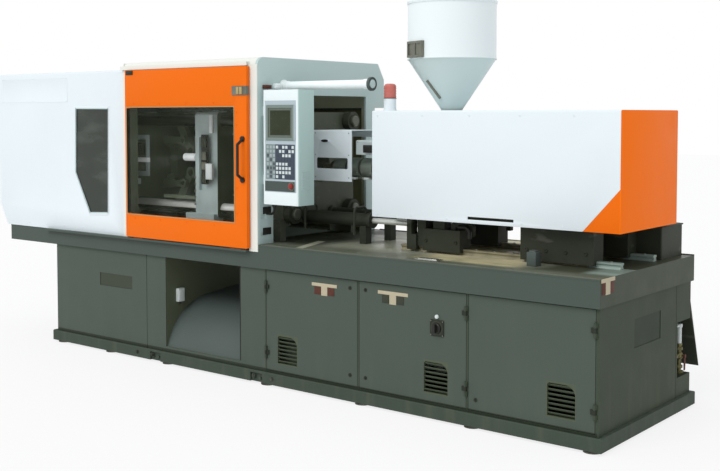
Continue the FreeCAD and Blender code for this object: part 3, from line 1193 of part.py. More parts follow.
def clamp_cover():
    """Sheet hood over the toggle and the clamp cylinder, open below and towards the mould."""
    t = COVER_SHEET
    front = COVER_HALF

    def profile(inset):
        x1, x0 = X_COVER, X_COVER_END + inset
        low, top = COVER_BOTTOM, COVER_TOP - inset
        return [(x1 + inset, low - inset), (x0 + COVER_CHAMFER_X, low - inset), (x0, low + COVER_CHAMFER_Z - inset),
                (x0, top), (x1 + inset, top)]

    outer = prism("xz", profile(0.0), -front, front)
    edges = [e for e in outer.Edges
             if abs(e.BoundBox.YMax - e.BoundBox.YMin) < 1e-6 and abs(abs(e.BoundBox.YMin) - front) < 1e-6
             and (e.BoundBox.ZMin > COVER_TOP - 1e-6 or e.BoundBox.XMax < X_COVER_END + 1e-6)]
    outer = outer.makeFillet(COVER_EDGE_RADIUS, edges)
    inner = prism("xz", profile(t), -front + t, front - t)
    window = prism("xz", [cover_corner(p) for p in COVER_WINDOW], -front - 1, -front + t + 1)
    return outer.cut([inner, window])


def clamp_cover_window():
    """Dark pane behind the clamp cover's five-sided opening."""
    lap = 14.0
    centre_x = sum(p[0] for p in COVER_WINDOW) / len(COVER_WINDOW)
    centre_z = sum(p[1] for p in COVER_WINDOW) / len(COVER_WINDOW)
    points = []
    for px, pz in COVER_WINDOW:
        length = math.hypot(px - centre_x, pz - centre_z)
        points.append(cover_corner((px + (px - centre_x) * lap / length, pz + (pz - centre_z) * lap / length)))
    y = -COVER_HALF + COVER_SHEET
    return prism("xz", points, y, y + WINDOW_PANE)


# ---- control box, lamp ------------------------------------------------------------------------
def control_box():
    """Operator's box on two arms from the arch: folded shell with white head and foot bands."""
    x0 = X_ARCH + CONTROL_ARM
    x1 = x0 + CONTROL_WIDTH
    y0 = -HALF - CONTROL_PROUD
    y1 = y0 + CONTROL_DEPTH
    shell = prism("xy", [(x0, y0, 14.0), (x1, y0, 14.0), (x1, y1, 6.0), (x0, y1, 6.0)], CONTROL_BOTTOM, CONTROL_TOP)
    recess = box(x0 + FACE_MARGIN, x1 - FACE_MARGIN, y0 - 1, y0 + FACE_THICKNESS, FACE_BOTTOM, FACE_TOP)
    stop_x, stop_z = stop_place()
    well = rod((stop_x, y0, stop_z), ALONG_Y, FACE_THICKNESS + 2 * STOP_TRAVEL, STOP_STEM + 1.5)
    half = CONTROL_ARM_SIZE / 2
    middle = (y0 + y1) / 2
    arms = [box(X_ARCH, x0, middle - half, middle + half, z - half, z + half)
            for z in (CONTROL_BOTTOM + 150.0, CONTROL_TOP - 130.0)]
    return joined([shell.cut([recess, well])] + arms)


def stop_place():
    """x and z of the emergency stop's middle."""
    return X_ARCH + CONTROL_ARM + CONTROL_WIDTH - FACE_MARGIN - STOP_FROM_EDGE, FACE_BOTTOM + STOP_UP


def control_face():
    """Operating panel: screen frame, key field and the drawer strip, in one moulded plate."""
    x0 = X_ARCH + CONTROL_ARM + FACE_MARGIN
    x1 = x0 + CONTROL_WIDTH - 2 * FACE_MARGIN
    y0 = -HALF - CONTROL_PROUD
    y1 = y0 + FACE_THICKNESS
    rise = 5.0
    plate = box(x0, x1, y0, y1, FACE_BOTTOM, FACE_TOP)
    bezel = prism("xz", [(x0 + 6, SCREEN_BOTTOM - 16, 6.0), (x1 - 6, SCREEN_BOTTOM - 16, 6.0),
                         (x1 - 6, SCREEN_TOP + 16, 6.0), (x0 + 6, SCREEN_TOP + 16, 6.0)], y0 - rise, y0)
    screen = box(x0 + SCREEN_MARGIN, x1 - SCREEN_MARGIN, y0 - rise - 1, y0 - 1.0, SCREEN_BOTTOM, SCREEN_TOP)
    keys = []
    key, pitch = 17.0, 26.0
    columns, rows = 9, 8
    left = (x0 + x1) / 2 - (columns - 1) * pitch / 2
    for i in range(columns):
        for k in range(rows):
            x, z = left + i * pitch, 1322.0 + k * pitch
            keys.append(box(x - key / 2, x + key / 2, y0 - 2.0, y0, z - key / 2, z + key / 2))
    strip = box(x0 + 4, x1 - 4, y0 - STRIP_RISE, y0, FACE_BOTTOM + 6, FACE_BOTTOM + 66)
    stop_x, stop_z = stop_place()
    stop_hole = rod((stop_x, y0 - 9, stop_z), ALONG_Y, 20.0, STOP_STEM + ROD_CLEARANCE / 2)
    return joined([plate, bezel.cut(screen), strip] + keys).cut(stop_hole)


def emergency_stop():
    """Mushroom button and its stem in the drawer strip."""
    x, z = stop_place()
    y = -HALF - CONTROL_PROUD + FACE_THICKNESS
    r = STOP_RADIUS
    stem = FACE_THICKNESS + STRIP_RISE + STOP_TRAVEL + RUNNING_GAP
    profile = [(0, 0), (STOP_STEM, 0), (STOP_STEM, stem), (r, stem), (r, stem + 7), (r * 0.72, stem + STOP_HEIGHT - 9),
               (0, stem + STOP_HEIGHT - 6)]
    return turned(profile, (x, y, z), -ALONG_Y)


def work_lamp():
    """Tubular work lamp over the nozzle, with its end caps, on the arch plate."""
    r, length = LAMP_RADIUS, LAMP_LENGTH
    profile = [(0, 0), (r + 12, 0), (r + 12, 8), (r + 4, 10), (r + 4, 44), (r, 46), (r, length - 46),
               (r + 4, length - 44), (r + 4, length - 6), (r, length), (0, length)]
    return turned(profile, (X_ARCH, LAMP_Y, LAMP_HEIGHT), ALONG_X)


# ---- injection unit ---------------------------------------------------------------------------
def cover_slant():
    """Cutter for the white cover's end: all that the orange end piece takes."""
    y = INJECTION_COVER_HALF + 1
    wedge = prism("xz", [(-END_SLANT_X, INJECTION_COVER_BOTTOM - 1), (1, INJECTION_COVER_BOTTOM - 1),
                         (1, INJECTION_COVER_BOTTOM + END_SLANT_Z), (-INJECTION_SHEET, INJECTION_COVER_BOTTOM
                         + END_SLANT_Z)], -y, y)
    plate = box(-INJECTION_SHEET, 1, -y, y, INJECTION_COVER_BOTTOM - 1, INJECTION_COVER_TOP + 1)
    return wedge.fuse(plate)


def injection_hood():
    """Whole hood over the injection unit, open below, before it is parted in two."""
    t, half = INJECTION_SHEET, INJECTION_COVER_HALF
    x0 = -INJECTION_COVER_LENGTH
    outer = rounded_box(x0, 0, -half, half, INJECTION_COVER_BOTTOM - 20, INJECTION_COVER_TOP, 10.0)
    inner = rounded_box(x0 + t, -t, -half + t, half - t, INJECTION_COVER_BOTTOM - 25, INJECTION_COVER_TOP - t, 6.0)
    trim = box(x0 - 1, 1, -half - 1, half + 1, INJECTION_COVER_BOTTOM - 30, INJECTION_COVER_BOTTOM)
    return outer.cut([inner, trim])


def injection_cover():
    """White hood with the barrel's cut-out, the hopper's hole and the beacon's foot."""
    half, t = INJECTION_COVER_HALF, INJECTION_SHEET
    x0 = -INJECTION_COVER_LENGTH
    mouth = prism("yz", [(-BARREL_GUARD_HALF - 14, INJECTION_COVER_BOTTOM - 1),
                         (BARREL_GUARD_HALF + 14, INJECTION_COVER_BOTTOM - 1),
                         (BARREL_GUARD_HALF + 14, CLAMP_AXIS_Z + BARREL_GUARD_UP + 14, 20.0),
                         (-BARREL_GUARD_HALF - 14, CLAMP_AXIS_Z + BARREL_GUARD_UP + 14, 20.0)],
                  x0 - 1, x0 + t + 1)
    hole = rod((HOPPER_X, 0, INJECTION_COVER_TOP - t - 1), ALONG_Z, t + 2, HOPPER_NECK_RADIUS + HOPPER_NECK_GAP)
    slot = box(-COVER_SLOT_START - COVER_SLOT_LENGTH, -COVER_SLOT_START, -half - 1, -half + t + 1,
               INJECTION_COVER_BOTTOM + COVER_SLOT_UP, INJECTION_COVER_BOTTOM + COVER_SLOT_UP + COVER_SLOT_HEIGHT)
    foot = turned([(0, 0), (BEACON_RADIUS + 4, 0), (BEACON_RADIUS + 4, 6), (BEACON_RADIUS, 8),
                   (BEACON_RADIUS, BEACON_BASE), (0, BEACON_BASE)],
                  (x0 + BEACON_FROM_EDGE, BEACON_Y, INJECTION_COVER_TOP), ALONG_Z)
    return joined([injection_hood().cut([mouth, hole, slot, cover_slant()]), foot])


def injection_cover_end():
    """Orange end piece whose side edges slant down to the hood's lower rim."""
    return injection_hood().common(cover_slant())


def beacon_lens():
    """Red lens on the beacon's foot."""
    r = BEACON_RADIUS
    profile = [(0, 0), (r, 0), (r, BEACON_LENS - 14), (r - 6, BEACON_LENS - 4), (r - 16, BEACON_LENS),
               (0, BEACON_LENS)]
    return turned(profile, (-INJECTION_COVER_LENGTH + BEACON_FROM_EDGE, BEACON_Y, INJECTION_COVER_TOP
                            + BEACON_BASE), ALONG_Z)


HOUSING_X0 = HOPPER_X - HOUSING_LENGTH / 2
HOUSING_X1 = HOPPER_X + HOUSING_LENGTH / 2
NECK_BOTTOM = CLAMP_AXIS_Z + HOUSING_HALF_Z


def injection_housing():
    """Cast housing at the feed end, with the hopper's throat, side beams and injection cylinders."""
    x0, x1 = HOUSING_X0, HOUSING_X1
    z = CLAMP_AXIS_Z
    block = rounded_box(x0, x1, -HOUSING_HALF_Y, HOUSING_HALF_Y, z - HOUSING_HALF_Z, z + HOUSING_HALF_Z, 24.0)
    bottom = INJECTION_COVER_BOTTOM - 12.0
    legs = both_sides(box(x0, x1, RAIL_Y - 50.0, RAIL_Y + 45.0, bottom, z - HOUSING_HALF_Z + 30))
    beam_end = REAR_FOOT_X[1]
    beams = both_sides(box(x0, beam_end, RAIL_Y - 45.0, RAIL_Y + 45.0, bottom, bottom + 42.0))
    tie = box(beam_end - 60.0, beam_end, -RAIL_Y, RAIL_Y, bottom, bottom + 42.0)
    wall = INJECTION_COVER_HALF - INJECTION_SHEET
    brackets = []
    for x in (x0 + 30.0, beam_end - 50.0):
        brackets += both_sides(box(x, x + 40.0, RAIL_Y + 40.0, wall, bottom + 14.0, bottom + 38.0))
    cylinders, bores = [], []
    for s in (-1, 1):
        y = s * INJECTION_CYLINDER_Y
        cylinders.append(rod((x1, y, z), ALONG_X, INJECTION_CYLINDER_LENGTH, INJECTION_CYLINDER_RADIUS))
        cylinders.append(rod((x1 + INJECTION_CYLINDER_LENGTH - 40.0, y, z), ALONG_X, 40.0,
                             INJECTION_CYLINDER_RADIUS + 9))
        bores.append(rod((x1 + 30.0, y, z), ALONG_X, INJECTION_CYLINDER_LENGTH,
                         INJECTION_ROD_RADIUS + ROD_CLEARANCE))
    barrel_seat = rod((x0 - 1, 0, z), ALONG_X, HOUSING_LENGTH + 2, BARREL_RADIUS)
    throat = rod((HOPPER_X, 0, z + BARREL_RADIUS - 5), ALONG_Z, HOUSING_HALF_Z, HOUSING_WINDOW)
    return joined([block] + legs + beams + [tie] + brackets + cylinders).cut(bores + [barrel_seat, throat])


def barrel():
    """Barrel with its flange, tapered head and nozzle tip, bored for the screw."""
    z = CLAMP_AXIS_Z
    length = HOUSING_X1 - BARREL_TIP_X
    r = BARREL_RADIUS
    head = NOZZLE_LENGTH
    profile = [(4.0, 0), (NOZZLE_TIP_RADIUS, 0), (NOZZLE_TIP_RADIUS + 10, 14), (NOZZLE_TIP_RADIUS + 10, head * 0.7),
               (r - 4, head * 0.75), (r + 8, head), (r + 8, head + 16), (r, head + 16), (r, length),
               (BARREL_BORE, length), (BARREL_BORE, head + 10), (4.0, head - 20)]
    body = turned(profile, (BARREL_TIP_X, 0, z), ALONG_X)
    feed = rod((HOPPER_X, 0, z), ALONG_Z, r + 5, 26.0)
    return body.cut(feed)


def heater_bands():
    """Ceramic heater bands round the barrel."""
    z = CLAMP_AXIS_Z
    bands = []
    for k in range(BAND_COUNT):
        x = BARREL_TIP_X + BAND_START + k * BAND_PITCH
        band = pipe((x, 0, z), ALONG_X, BAND_LENGTH, BAND_RADIUS, BARREL_RADIUS)
        clamp = box(x + 8, x + BAND_LENGTH - 8, -9, 9, z - BAND_RADIUS - 12, z - BAND_RADIUS + 4)
        bands.append(band.fuse(clamp))
    return group(bands)


def barrel_guard():
    """Heat shield over the barrel between the hood and the purge guard."""
    z = CLAMP_AXIS_Z
    t = PURGE_SHEET
    x0 = X_ARCH + PURGE_GAP + PURGE_LENGTH + 12.0
    half = BARREL_GUARD_HALF
    outer = rounded_box(x0, HOUSING_X0, -half, half, z + BARREL_GUARD_DOWN - 20, z + BARREL_GUARD_UP, 12.0)
    inner = rounded_box(x0 - 1, HOUSING_X0 + 1, -half + t, half - t, z + BARREL_GUARD_DOWN - 25,
                        z + BARREL_GUARD_UP - t, 9.0)
    trim = box(x0 - 1, HOUSING_X0 + 1, -half - 1, half + 1, z, z + BARREL_GUARD_DOWN)
    return outer.cut([inner, trim])


def purge_guard():
    """Hinged hood over the nozzle, with a long slot to look through."""
    z = CLAMP_AXIS_Z
    t = PURGE_SHEET
    x0 = X_ARCH + PURGE_GAP
    x1 = x0 + PURGE_LENGTH
    half = PURGE_HALF_Y
    outer = rounded_box(x0, x1, -half, half, z - PURGE_DOWN - 20, z + PURGE_UP, 10.0)
    inner = rounded_box(x0 - 1, x1 + 1, -half + t, half - t, z - PURGE_DOWN - 30, z + PURGE_UP - t, 7.0)
    trim = box(x0 - 1, x1 + 1, -half - 1, half + 1, z - PURGE_DOWN - 40, z - PURGE_DOWN)
    rear_open = box(x0 - 1, x1 + 1, half - t - 1, half + 1, z - PURGE_DOWN - 1, z + BARREL_GUARD_UP + 14.0)
    slot = prism("xz", [(x0 + PURGE_MARGIN, z + PURGE_SLOT_LOW, 10.0), (x1 - PURGE_MARGIN, z + PURGE_SLOT_LOW, 10.0),
                        (x1 - PURGE_MARGIN, z + PURGE_SLOT_HIGH, 10.0), (x0 + PURGE_MARGIN, z + PURGE_SLOT_HIGH,
                                                                       10.0)], -half - 1, -half + t + 1)
    pull = prism("xz", [(x0 + 60, z + 168, 5.0), (x0 + 140, z + 168, 5.0), (x0 + 140, z + 182, 5.0),
                        (x0 + 60, z + 182, 5.0)], -half - 9.0, -half)
    y, zp = purge_hinge()
    bearing = PURGE_KNUCKLE
    knuckles = [rod((x, y, zp), ALONG_X, bearing, KNUCKLE_RADIUS) for x in purge_knuckle_starts()]
    webs = [box(x, x + bearing, half - t, y, zp - 5, zp + 5) for x in purge_knuckle_starts()]
    bore = rod((x0 - 5, y, zp), ALONG_X, PURGE_LENGTH + 10, HINGE_PIN_RADIUS + PIN_CLEARANCE)
    shell = outer.cut([inner, trim, rear_open, slot])
    return joined([shell, pull] + knuckles + webs).cut(bore)


PURGE_KNUCKLE = 40.0


def purge_hinge():
    """y and z of the purge guard's hinge line."""
    return PURGE_HALF_Y + KNUCKLE_RADIUS + 4.0, CLAMP_AXIS_Z + PURGE_UP - 20.0


def purge_knuckle_starts():
    """Where the purge guard's two knuckles begin along its hinge."""
    x0 = X_ARCH + PURGE_GAP
    return x0 + 40.0, x0 + PURGE_LENGTH - 120.0


def purge_hinge_post():
    """Pin and its two brackets on the fixed platen."""
    y, z = purge_hinge()
    start = X_FIXED
    pin = rod((start, y, z), ALONG_X, X_ARCH - X_FIXED + PURGE_GAP + PURGE_LENGTH - PURGE_PIN_SHORT,
              HINGE_PIN_RADIUS)
    boss = rod((start, y, z), ALONG_X, 24.0, 3.0 * HINGE_PIN_RADIUS)
    return [pin, boss]


def carriage_rails():
    """Two ground rails on the bed that carry the injection unit."""
    x1 = -RAIL_END
    rails = []
    head, waist = RAIL_WIDTH / 2, RAIL_WIDTH / 2 - 8.0
    z0, z1 = BED_TOP, BED_TOP + RAIL_HEIGHT
    profile = [(-head, z0), (head, z0), (waist, z0 + 12), (waist, z1 - 14), (head, z1 - 10), (head, z1),
               (-head, z1), (-head, z1 - 10), (-waist, z1 - 14), (-waist, z0 + 12)]
    for s in (-1, 1):
        points = [(s * RAIL_Y + y, z) for y, z in profile]
        rails.append(prism("yz", points, x1 - RAIL_LENGTH, x1))
    return group(rails)


def carriage_feet():
    """Cast feet that run on the rails: a front pair with posts and a long rear pair."""
    feet = []
    gap = RUNNING_GAP
    rail_top = BED_TOP + RAIL_HEIGHT + gap
    top = INJECTION_COVER_BOTTOM - 12.0
    half = FOOT_HALF_WIDTH
    groove_half = RAIL_WIDTH / 2 + gap
    low = BED_TOP + 14.0
    for s in (-1, 1):
        y = s * RAIL_Y
        for (x0, x1), shoulder in ((FRONT_FOOT_X, FOOT_BODY_TOP), (REAR_FOOT_X, top)):
            body = box(x0, x1, y - half, y + half, low, shoulder)
            groove = box(x0 - 1, x1 + 1, y - groove_half, y + groove_half, low - 1, rail_top)
            foot = body.cut(groove)
            if shoulder < top:
                post = box(x0 - POST_WIDTH, x0 + 10.0, y - half * 0.7, y + half * 0.7, rail_top + 2, top)
                hook = prism("xz", [(x1 - 90.0, shoulder - 2, 6.0), (x1 - 90.0, top - 4, 22.0), (x1 + 62.0, top - 4, 26.0),
                                    (x1 + 62.0, shoulder - 34, 6.0), (x1 + 32.0, shoulder - 34, 6.0),
                                    (x1 + 32.0, top - 32, 8.0), (x1 - 60.0, top - 32, 8.0),
                                    (x1 - 60.0, shoulder - 2, 6.0)], y - 16.0, y + 16.0)
                saddle = box(x0 + 60, x0 + 140, y - half * 0.6, y + half * 0.6, shoulder - 2, top)
                foot = joined([foot, post, hook, saddle])
            feet.append(foot)
    return group(feet)


def carriage_cylinders():
    """Two cylinders that pull the injection unit to the mould, fixed at the platen's side."""
    x0 = X_FIXED
    profile = [(0, 0), (CARRIAGE_CYLINDER_RADIUS + 10, 0), (CARRIAGE_CYLINDER_RADIUS + 10, 22),
               (CARRIAGE_CYLINDER_RADIUS, 24), (CARRIAGE_CYLINDER_RADIUS, CARRIAGE_CYLINDER_LENGTH - 30),
               (CARRIAGE_CYLINDER_RADIUS + 7, CARRIAGE_CYLINDER_LENGTH - 28),
               (CARRIAGE_CYLINDER_RADIUS + 7, CARRIAGE_CYLINDER_LENGTH),
               (CARRIAGE_ROD_RADIUS + ROD_CLEARANCE, CARRIAGE_CYLINDER_LENGTH),
               (CARRIAGE_ROD_RADIUS + ROD_CLEARANCE, CARRIAGE_CYLINDER_LENGTH - CARRIAGE_GLAND),
               (CARRIAGE_CYLINDER_BORE, CARRIAGE_CYLINDER_LENGTH - CARRIAGE_GLAND),
               (CARRIAGE_CYLINDER_BORE, 40), (0, 40)]
    cylinders = []
    for s in (-1, 1):
        cylinder = turned(profile, (x0, s * CARRIAGE_CYLINDER_Y, CARRIAGE_CYLINDER_Z), ALONG_X)
        middle = s * CARRIAGE_CYLINDER_Y
        end = x0 + CARRIAGE_CYLINDER_LENGTH - 40
        stand = box(end - 50, end, middle - 30, middle + 30, BED_TOP, CARRIAGE_CYLINDER_Z - CARRIAGE_CYLINDER_BORE - 6)
        cylinders.append(joined([cylinder, stand]))
    return group(cylinders)


def carriage_rods():
    """Piston rods from the carriage cylinders to brackets on the front feet."""
    z = CARRIAGE_CYLINDER_Z
    x0 = X_FIXED + CARRIAGE_CYLINDER_LENGTH - CARRIAGE_GLAND - CARRIAGE_BACK - CARRIAGE_PISTON - 6.0
    x1 = FRONT_FOOT_X[0]
    rods = []
    for s in (-1, 1):
        y = s * CARRIAGE_CYLINDER_Y
        bar = rod((x0, y, z), ALONG_X, x1 - x0 + 20, CARRIAGE_ROD_RADIUS)
        piston = rod((x0, y, z), ALONG_X, CARRIAGE_PISTON, CARRIAGE_CYLINDER_BORE - ROD_CLEARANCE)
        inner, outer = sorted((s * (CARRIAGE_CYLINDER_Y - 26), s * (RAIL_Y - FOOT_HALF_WIDTH)))
        bracket = box(x1, x1 + 60, inner, outer, z - 56, z + 26)
        rods.append(joined([bar, piston, bracket]))
    return group(rods)


DRIVE_X0 = HOUSING_X1 + INJECTION_CYLINDER_LENGTH + DRIVE_GAP


def screw_drive():
    """Thrust plate on its two rods, with the hydraulic motor that turns the screw."""
    z = CLAMP_AXIS_Z
    x0, x1 = DRIVE_X0, DRIVE_X0 + DRIVE_THICKNESS
    plate = rounded_box(x0, x1, -INJECTION_CYLINDER_Y - 70, INJECTION_CYLINDER_Y + 70, z - 130, z + 130, 40.0)
    rods = []
    for s in (-1, 1):
        start = x0 - DRIVE_GAP - 240.0
        rods.append(rod((start, s * INJECTION_CYLINDER_Y, z), ALONG_X, x1 - start + 26, INJECTION_ROD_RADIUS))
        rods.append(rod((x1, s * INJECTION_CYLINDER_Y, z), ALONG_X, 22.0, INJECTION_ROD_RADIUS + 14))
    r = MOTOR_RADIUS
    motor = turned([(0, 0), (r, 0), (r, 40), (r * 0.86, 46), (r * 0.86, MOTOR_LENGTH - 30), (r * 0.7, MOTOR_LENGTH),
                    (0, MOTOR_LENGTH)], (x1, 0, z), ALONG_X)
    socket = rod((x0 - 1, 0, z), ALONG_X, 42.0, SCREW_SHANK_RADIUS + ROD_CLEARANCE)
    return joined([plate, motor] + rods).cut(socket)


SCREW_SHANK_RADIUS = 20.0


def screw():
    """Plasticising screw: pointed tip, check ring, flighted core and shank to the drive."""
    z = CLAMP_AXIS_Z
    tip_x = BARREL_TIP_X + NOZZLE_LENGTH + 14.0
    r = BARREL_BORE - SCREW_CLEARANCE
    core = 0.66 * r
    end = DRIVE_X0 + 38.0
    length = end - tip_x
    profile = [(0, 0), (6, 12), (r * 0.8, 46), (r * 0.6, 52), (r * 0.6, 60), (r, 62), (r, 84), (core, 88)]
    pitch, land = 45.0, 5.0
    shoulder = HOUSING_X1 - tip_x
    flights = int((shoulder - 60.0 - 2 * land - 100.0) / pitch)
    for k in range(flights):
        h = 100.0 + k * pitch
        profile += [(core, h), (r, h + 2), (r, h + 2 + land), (core, h + 4 + land)]
    profile += [(core, shoulder - 60), (r, shoulder - 56), (r, shoulder - 4), (SCREW_SHANK_RADIUS, shoulder),
                (SCREW_SHANK_RADIUS, length), (0, length)]
    return turned(profile, (tip_x, 0, z), ALONG_X)


# ---- hopper -----------------------------------------------------------------------------------
HOPPER_CONE_BOTTOM = INJECTION_COVER_TOP + 4.0
HOPPER_CONE_TOP = HOPPER_CONE_BOTTOM + HOPPER_CONE
HOPPER_TOP = HOPPER_CONE_TOP + HOPPER_CYLINDER


def hopper():
    """Sheet hopper: cylinder, cone and the square throat block on the housing."""
    r, t, neck = HOPPER_RADIUS, HOPPER_SHEET, HOPPER_NECK_RADIUS
    hole = HOUSING_WINDOW
    base = NECK_BOTTOM
    profile = [(neck, HOPPER_CONE_BOTTOM), (r, HOPPER_CONE_TOP), (r, HOPPER_TOP - 6), (r + 5, HOPPER_TOP - 6),
               (r + 5, HOPPER_TOP), (r - t, HOPPER_TOP), (r - t, HOPPER_CONE_TOP), (hole, HOPPER_CONE_BOTTOM),
               (hole, base), (neck, base)]
    shell = turned([(x, z) for x, z in profile], (HOPPER_X, 0, 0), ALONG_Z)
    flange = box(HOPPER_X - 110, HOPPER_X + 110, -110, 110, base, base + 18)
    flange = flange.cut(rod((HOPPER_X, 0, base - 1), ALONG_Z, 20, hole))
    y, z = lid_hinge()
    ear = box(HOPPER_X - 40, HOPPER_X + 40, r - 2, y, z - 16, z - KNUCKLE_RADIUS - 0.5)
    ends = [rod((HOPPER_X + x, y, z), ALONG_X, 18.0, KNUCKLE_RADIUS) for x in (-40.0, 22.0)]
    feet = [box(HOPPER_X + x, HOPPER_X + x + 18.0, y - KNUCKLE_RADIUS, y, z - 12, z) for x in (-40.0, 22.0)]
    pin = rod((HOPPER_X - 40, y, z), ALONG_X, 80.0, HINGE_PIN_RADIUS)
    return joined([shell, flange, ear, pin] + ends + feet)


def lid_hinge():
    """y and z of the hopper lid's hinge line."""
    return HOPPER_RADIUS + 26.0, HOPPER_TOP + 6.0


def hopper_lid():
    """Shallow coned lid with a rim and a strap handle, hinged at the back."""
    r, t = HOPPER_RADIUS + 6.0, LID_SHEET
    z0 = HOPPER_TOP + RUNNING_GAP
    profile = [(0, z0 + LID_RISE), (60, z0 + LID_RISE - 3), (r, z0 + 10), (r, z0), (r - t, z0), (r - t, z0 + 8),
               (60, z0 + LID_RISE - 3 - t), (0, z0 + LID_RISE - t)]
    dome = turned(profile, (HOPPER_X, 0, 0), ALONG_Z)
    y, z = lid_hinge()
    knuckle = rod((HOPPER_X - 22 + RUNNING_GAP, y, z), ALONG_X, 44.0 - 2 * RUNNING_GAP, KNUCKLE_RADIUS)
    leaf = box(HOPPER_X - 20, HOPPER_X + 20, r - 6, y - 2, z0 + 1, z0 + 8)
    bore = rod((HOPPER_X - 30, y, z), ALONG_X, 60.0, HINGE_PIN_RADIUS + PIN_CLEARANCE)
    bar_z = z0 + LID_RISE + 26
    grip = joined([box(HOPPER_X - 60, HOPPER_X + 60, -9, 9, bar_z - 6, bar_z)]
                  + [box(HOPPER_X + x, HOPPER_X + x + 6, -9, 9, z0 + LID_RISE - 10, bar_z) for x in (-60.0, 54.0)])
    return joined([dome, knuckle, leaf, grip]).cut(bore)


def hopper_sight():
    """Framed level window on the hopper's cylinder."""
    width, height, depth = SIGHT_BOX
    z0 = HOPPER_CONE_TOP + 4.0
    reach = HOPPER_RADIUS + depth * 0.5
    frame = box(HOPPER_RADIUS - 22, reach, -width / 2, width / 2, z0, z0 + height)
    glass = box(reach - 6, reach + 1, -width / 2 + 12, width / 2 - 12, z0 + 14, z0 + height - 14)
    bar = box(reach - 7, reach - 1, -7, 7, z0 + 14, z0 + height - 14)
    inside = rod((0, 0, z0 - 1), ALONG_Z, height + 2, HOPPER_RADIUS)
    solid = joined([frame.cut(glass), bar]).cut(inside)
    solid.rotate(Vector(0, 0, 0), ALONG_Z, SIGHT_ANGLE)
    solid.translate(Vector(HOPPER_X, 0, 0))
    return solid


def junction_box():
    """Dark box on the bed at the far corner."""
    x1, y1 = -JUNCTION_FROM_END, BEAM_HALF - JUNCTION_FROM_EDGE
    x0, y0 = x1 - JUNCTION_LENGTH, RAIL_Y + FOOT_HALF_WIDTH + JUNCTION_FROM_FEET
    return prism("xy", [(x0, y0, 8.0), (x1, y0, 8.0), (x1, y1, 8.0), (x0, y1, 8.0)], BED_TOP,
                 BED_TOP + JUNCTION_HEIGHT)


def fixed_platen_with_hinge():
    """Fixed platen and the purge guard's hinge brackets on it."""
    return joined([fixed_platen()] + purge_hinge_post())


REAR_LINKS = rear_links_upper()
FRONT_LINKS = front_links_upper()
CROSS_LINKS = cross_links_upper()

PIECES = {
    "base_plinth": base_plinth(),
    "levelling_pads": levelling_pads(),
    "clamp_base": clamp_base(),
    "injection_base": injection_base(),
    "bed_frame": bed_frame(),
    "discharge_chute": discharge_chute(),
    "cabinet_door_1": cabinet_door_1(),
    "cabinet_door_2": cabinet_door_2(),
    "cabinet_door_3": cabinet_door_3(),
    "main_switch_knob": main_switch_knob(),
    "electrical_panel": electrical_panel(),
    "pump_motor": pump_motor(),
    "water_manifold": water_manifold(),
    "flow_meter": flow_meter(),
    "valve_lever": valve_lever(),
    "water_guard": water_guard(),
    "fixed_platen": fixed_platen_with_hinge(),
    "moving_platen": moving_platen(),
    "end_platen": end_platen(),
    "tie_bars": tie_bars(),
    "tie_bar_nuts": tie_bar_nuts(),
    "clamp_cylinder": clamp_cylinder(),
    "rear_links_upper": REAR_LINKS,
    "rear_links_lower": lower(REAR_LINKS),
    "front_links_upper": FRONT_LINKS,
    "front_links_lower": lower(FRONT_LINKS),
    "cross_links_upper": CROSS_LINKS,
    "cross_links_lower": lower(CROSS_LINKS),
    "crosshead": crosshead(),
    "ejector_plate": ejector_plate(),
    "nozzle_arch": nozzle_arch(),
    "mould_guard_frame": mould_guard_frame(),
    "front_gate": front_gate(),
    "front_gate_window": front_gate_window(),
    "front_gate_handle": front_gate_handle(),
    "rear_gate": rear_gate(),
    "clamp_cover": clamp_cover(),
    "clamp_cover_window": clamp_cover_window(),
    "control_box": control_box(),
    "control_face": control_face(),
    "emergency_stop": emergency_stop(),
    "work_lamp": work_lamp(),
    "injection_cover": injection_cover(),
    "injection_cover_end": injection_cover_end(),
    "beacon_lens": beacon_lens(),
    "injection_housing": injection_housing(),
    "barrel": barrel(),
    "heater_bands": heater_bands(),
    "barrel_guard": barrel_guard(),
    "purge_guard": purge_guard(),
    "carriage_rails": carriage_rails(),
    "carriage_feet": carriage_feet(),
    "carriage_cylinders": carriage_cylinders(),
    "carriage_rods": carriage_rods(),
    "screw_drive": screw_drive(),
    "screw": screw(),
    "hopper": hopper(),
    "hopper_lid": hopper_lid(),
    "hopper_sight": hopper_sight(),
    "junction_box": junction_box(),
}

whole = Part.makeCompound(list(PIECES.values())).BoundBox
SHIFT = Vector(-(whole.XMin + whole.XMax) / 2, -(whole.YMin + whole.YMax) / 2, -whole.ZMin)

os.makedirs("parts", exist_ok=True)
for name, shape in PIECES.items():
    shape.translate(SHIFT)
    shape.exportStep(f"parts/{name}.step")
    print(f"{name:22s} solids {len(shape.Solids):2d} valid {shape.isValid()}  volume {shape.Volume / 1e6:9.3f} l")
print("overall", round(whole.XLength, 1), round(whole.YLength, 1), round(whole.ZLength, 1), "moved by", SHIFT)
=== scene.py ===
"""Looks of an injection moulding machine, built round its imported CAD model.

Sizes are in millimetres: x from the right end of the base, y from its middle line (the operator
stands at the negative side) and z from the floor. at() puts such a point in the row frame.
"""
import logging
import math
from collections.abc import Callable, Iterable, Sequence
from dataclasses import dataclass
from enum import Enum
from functools import cached_property

import bmesh
import bpy
from mathutils import Matrix, Vector


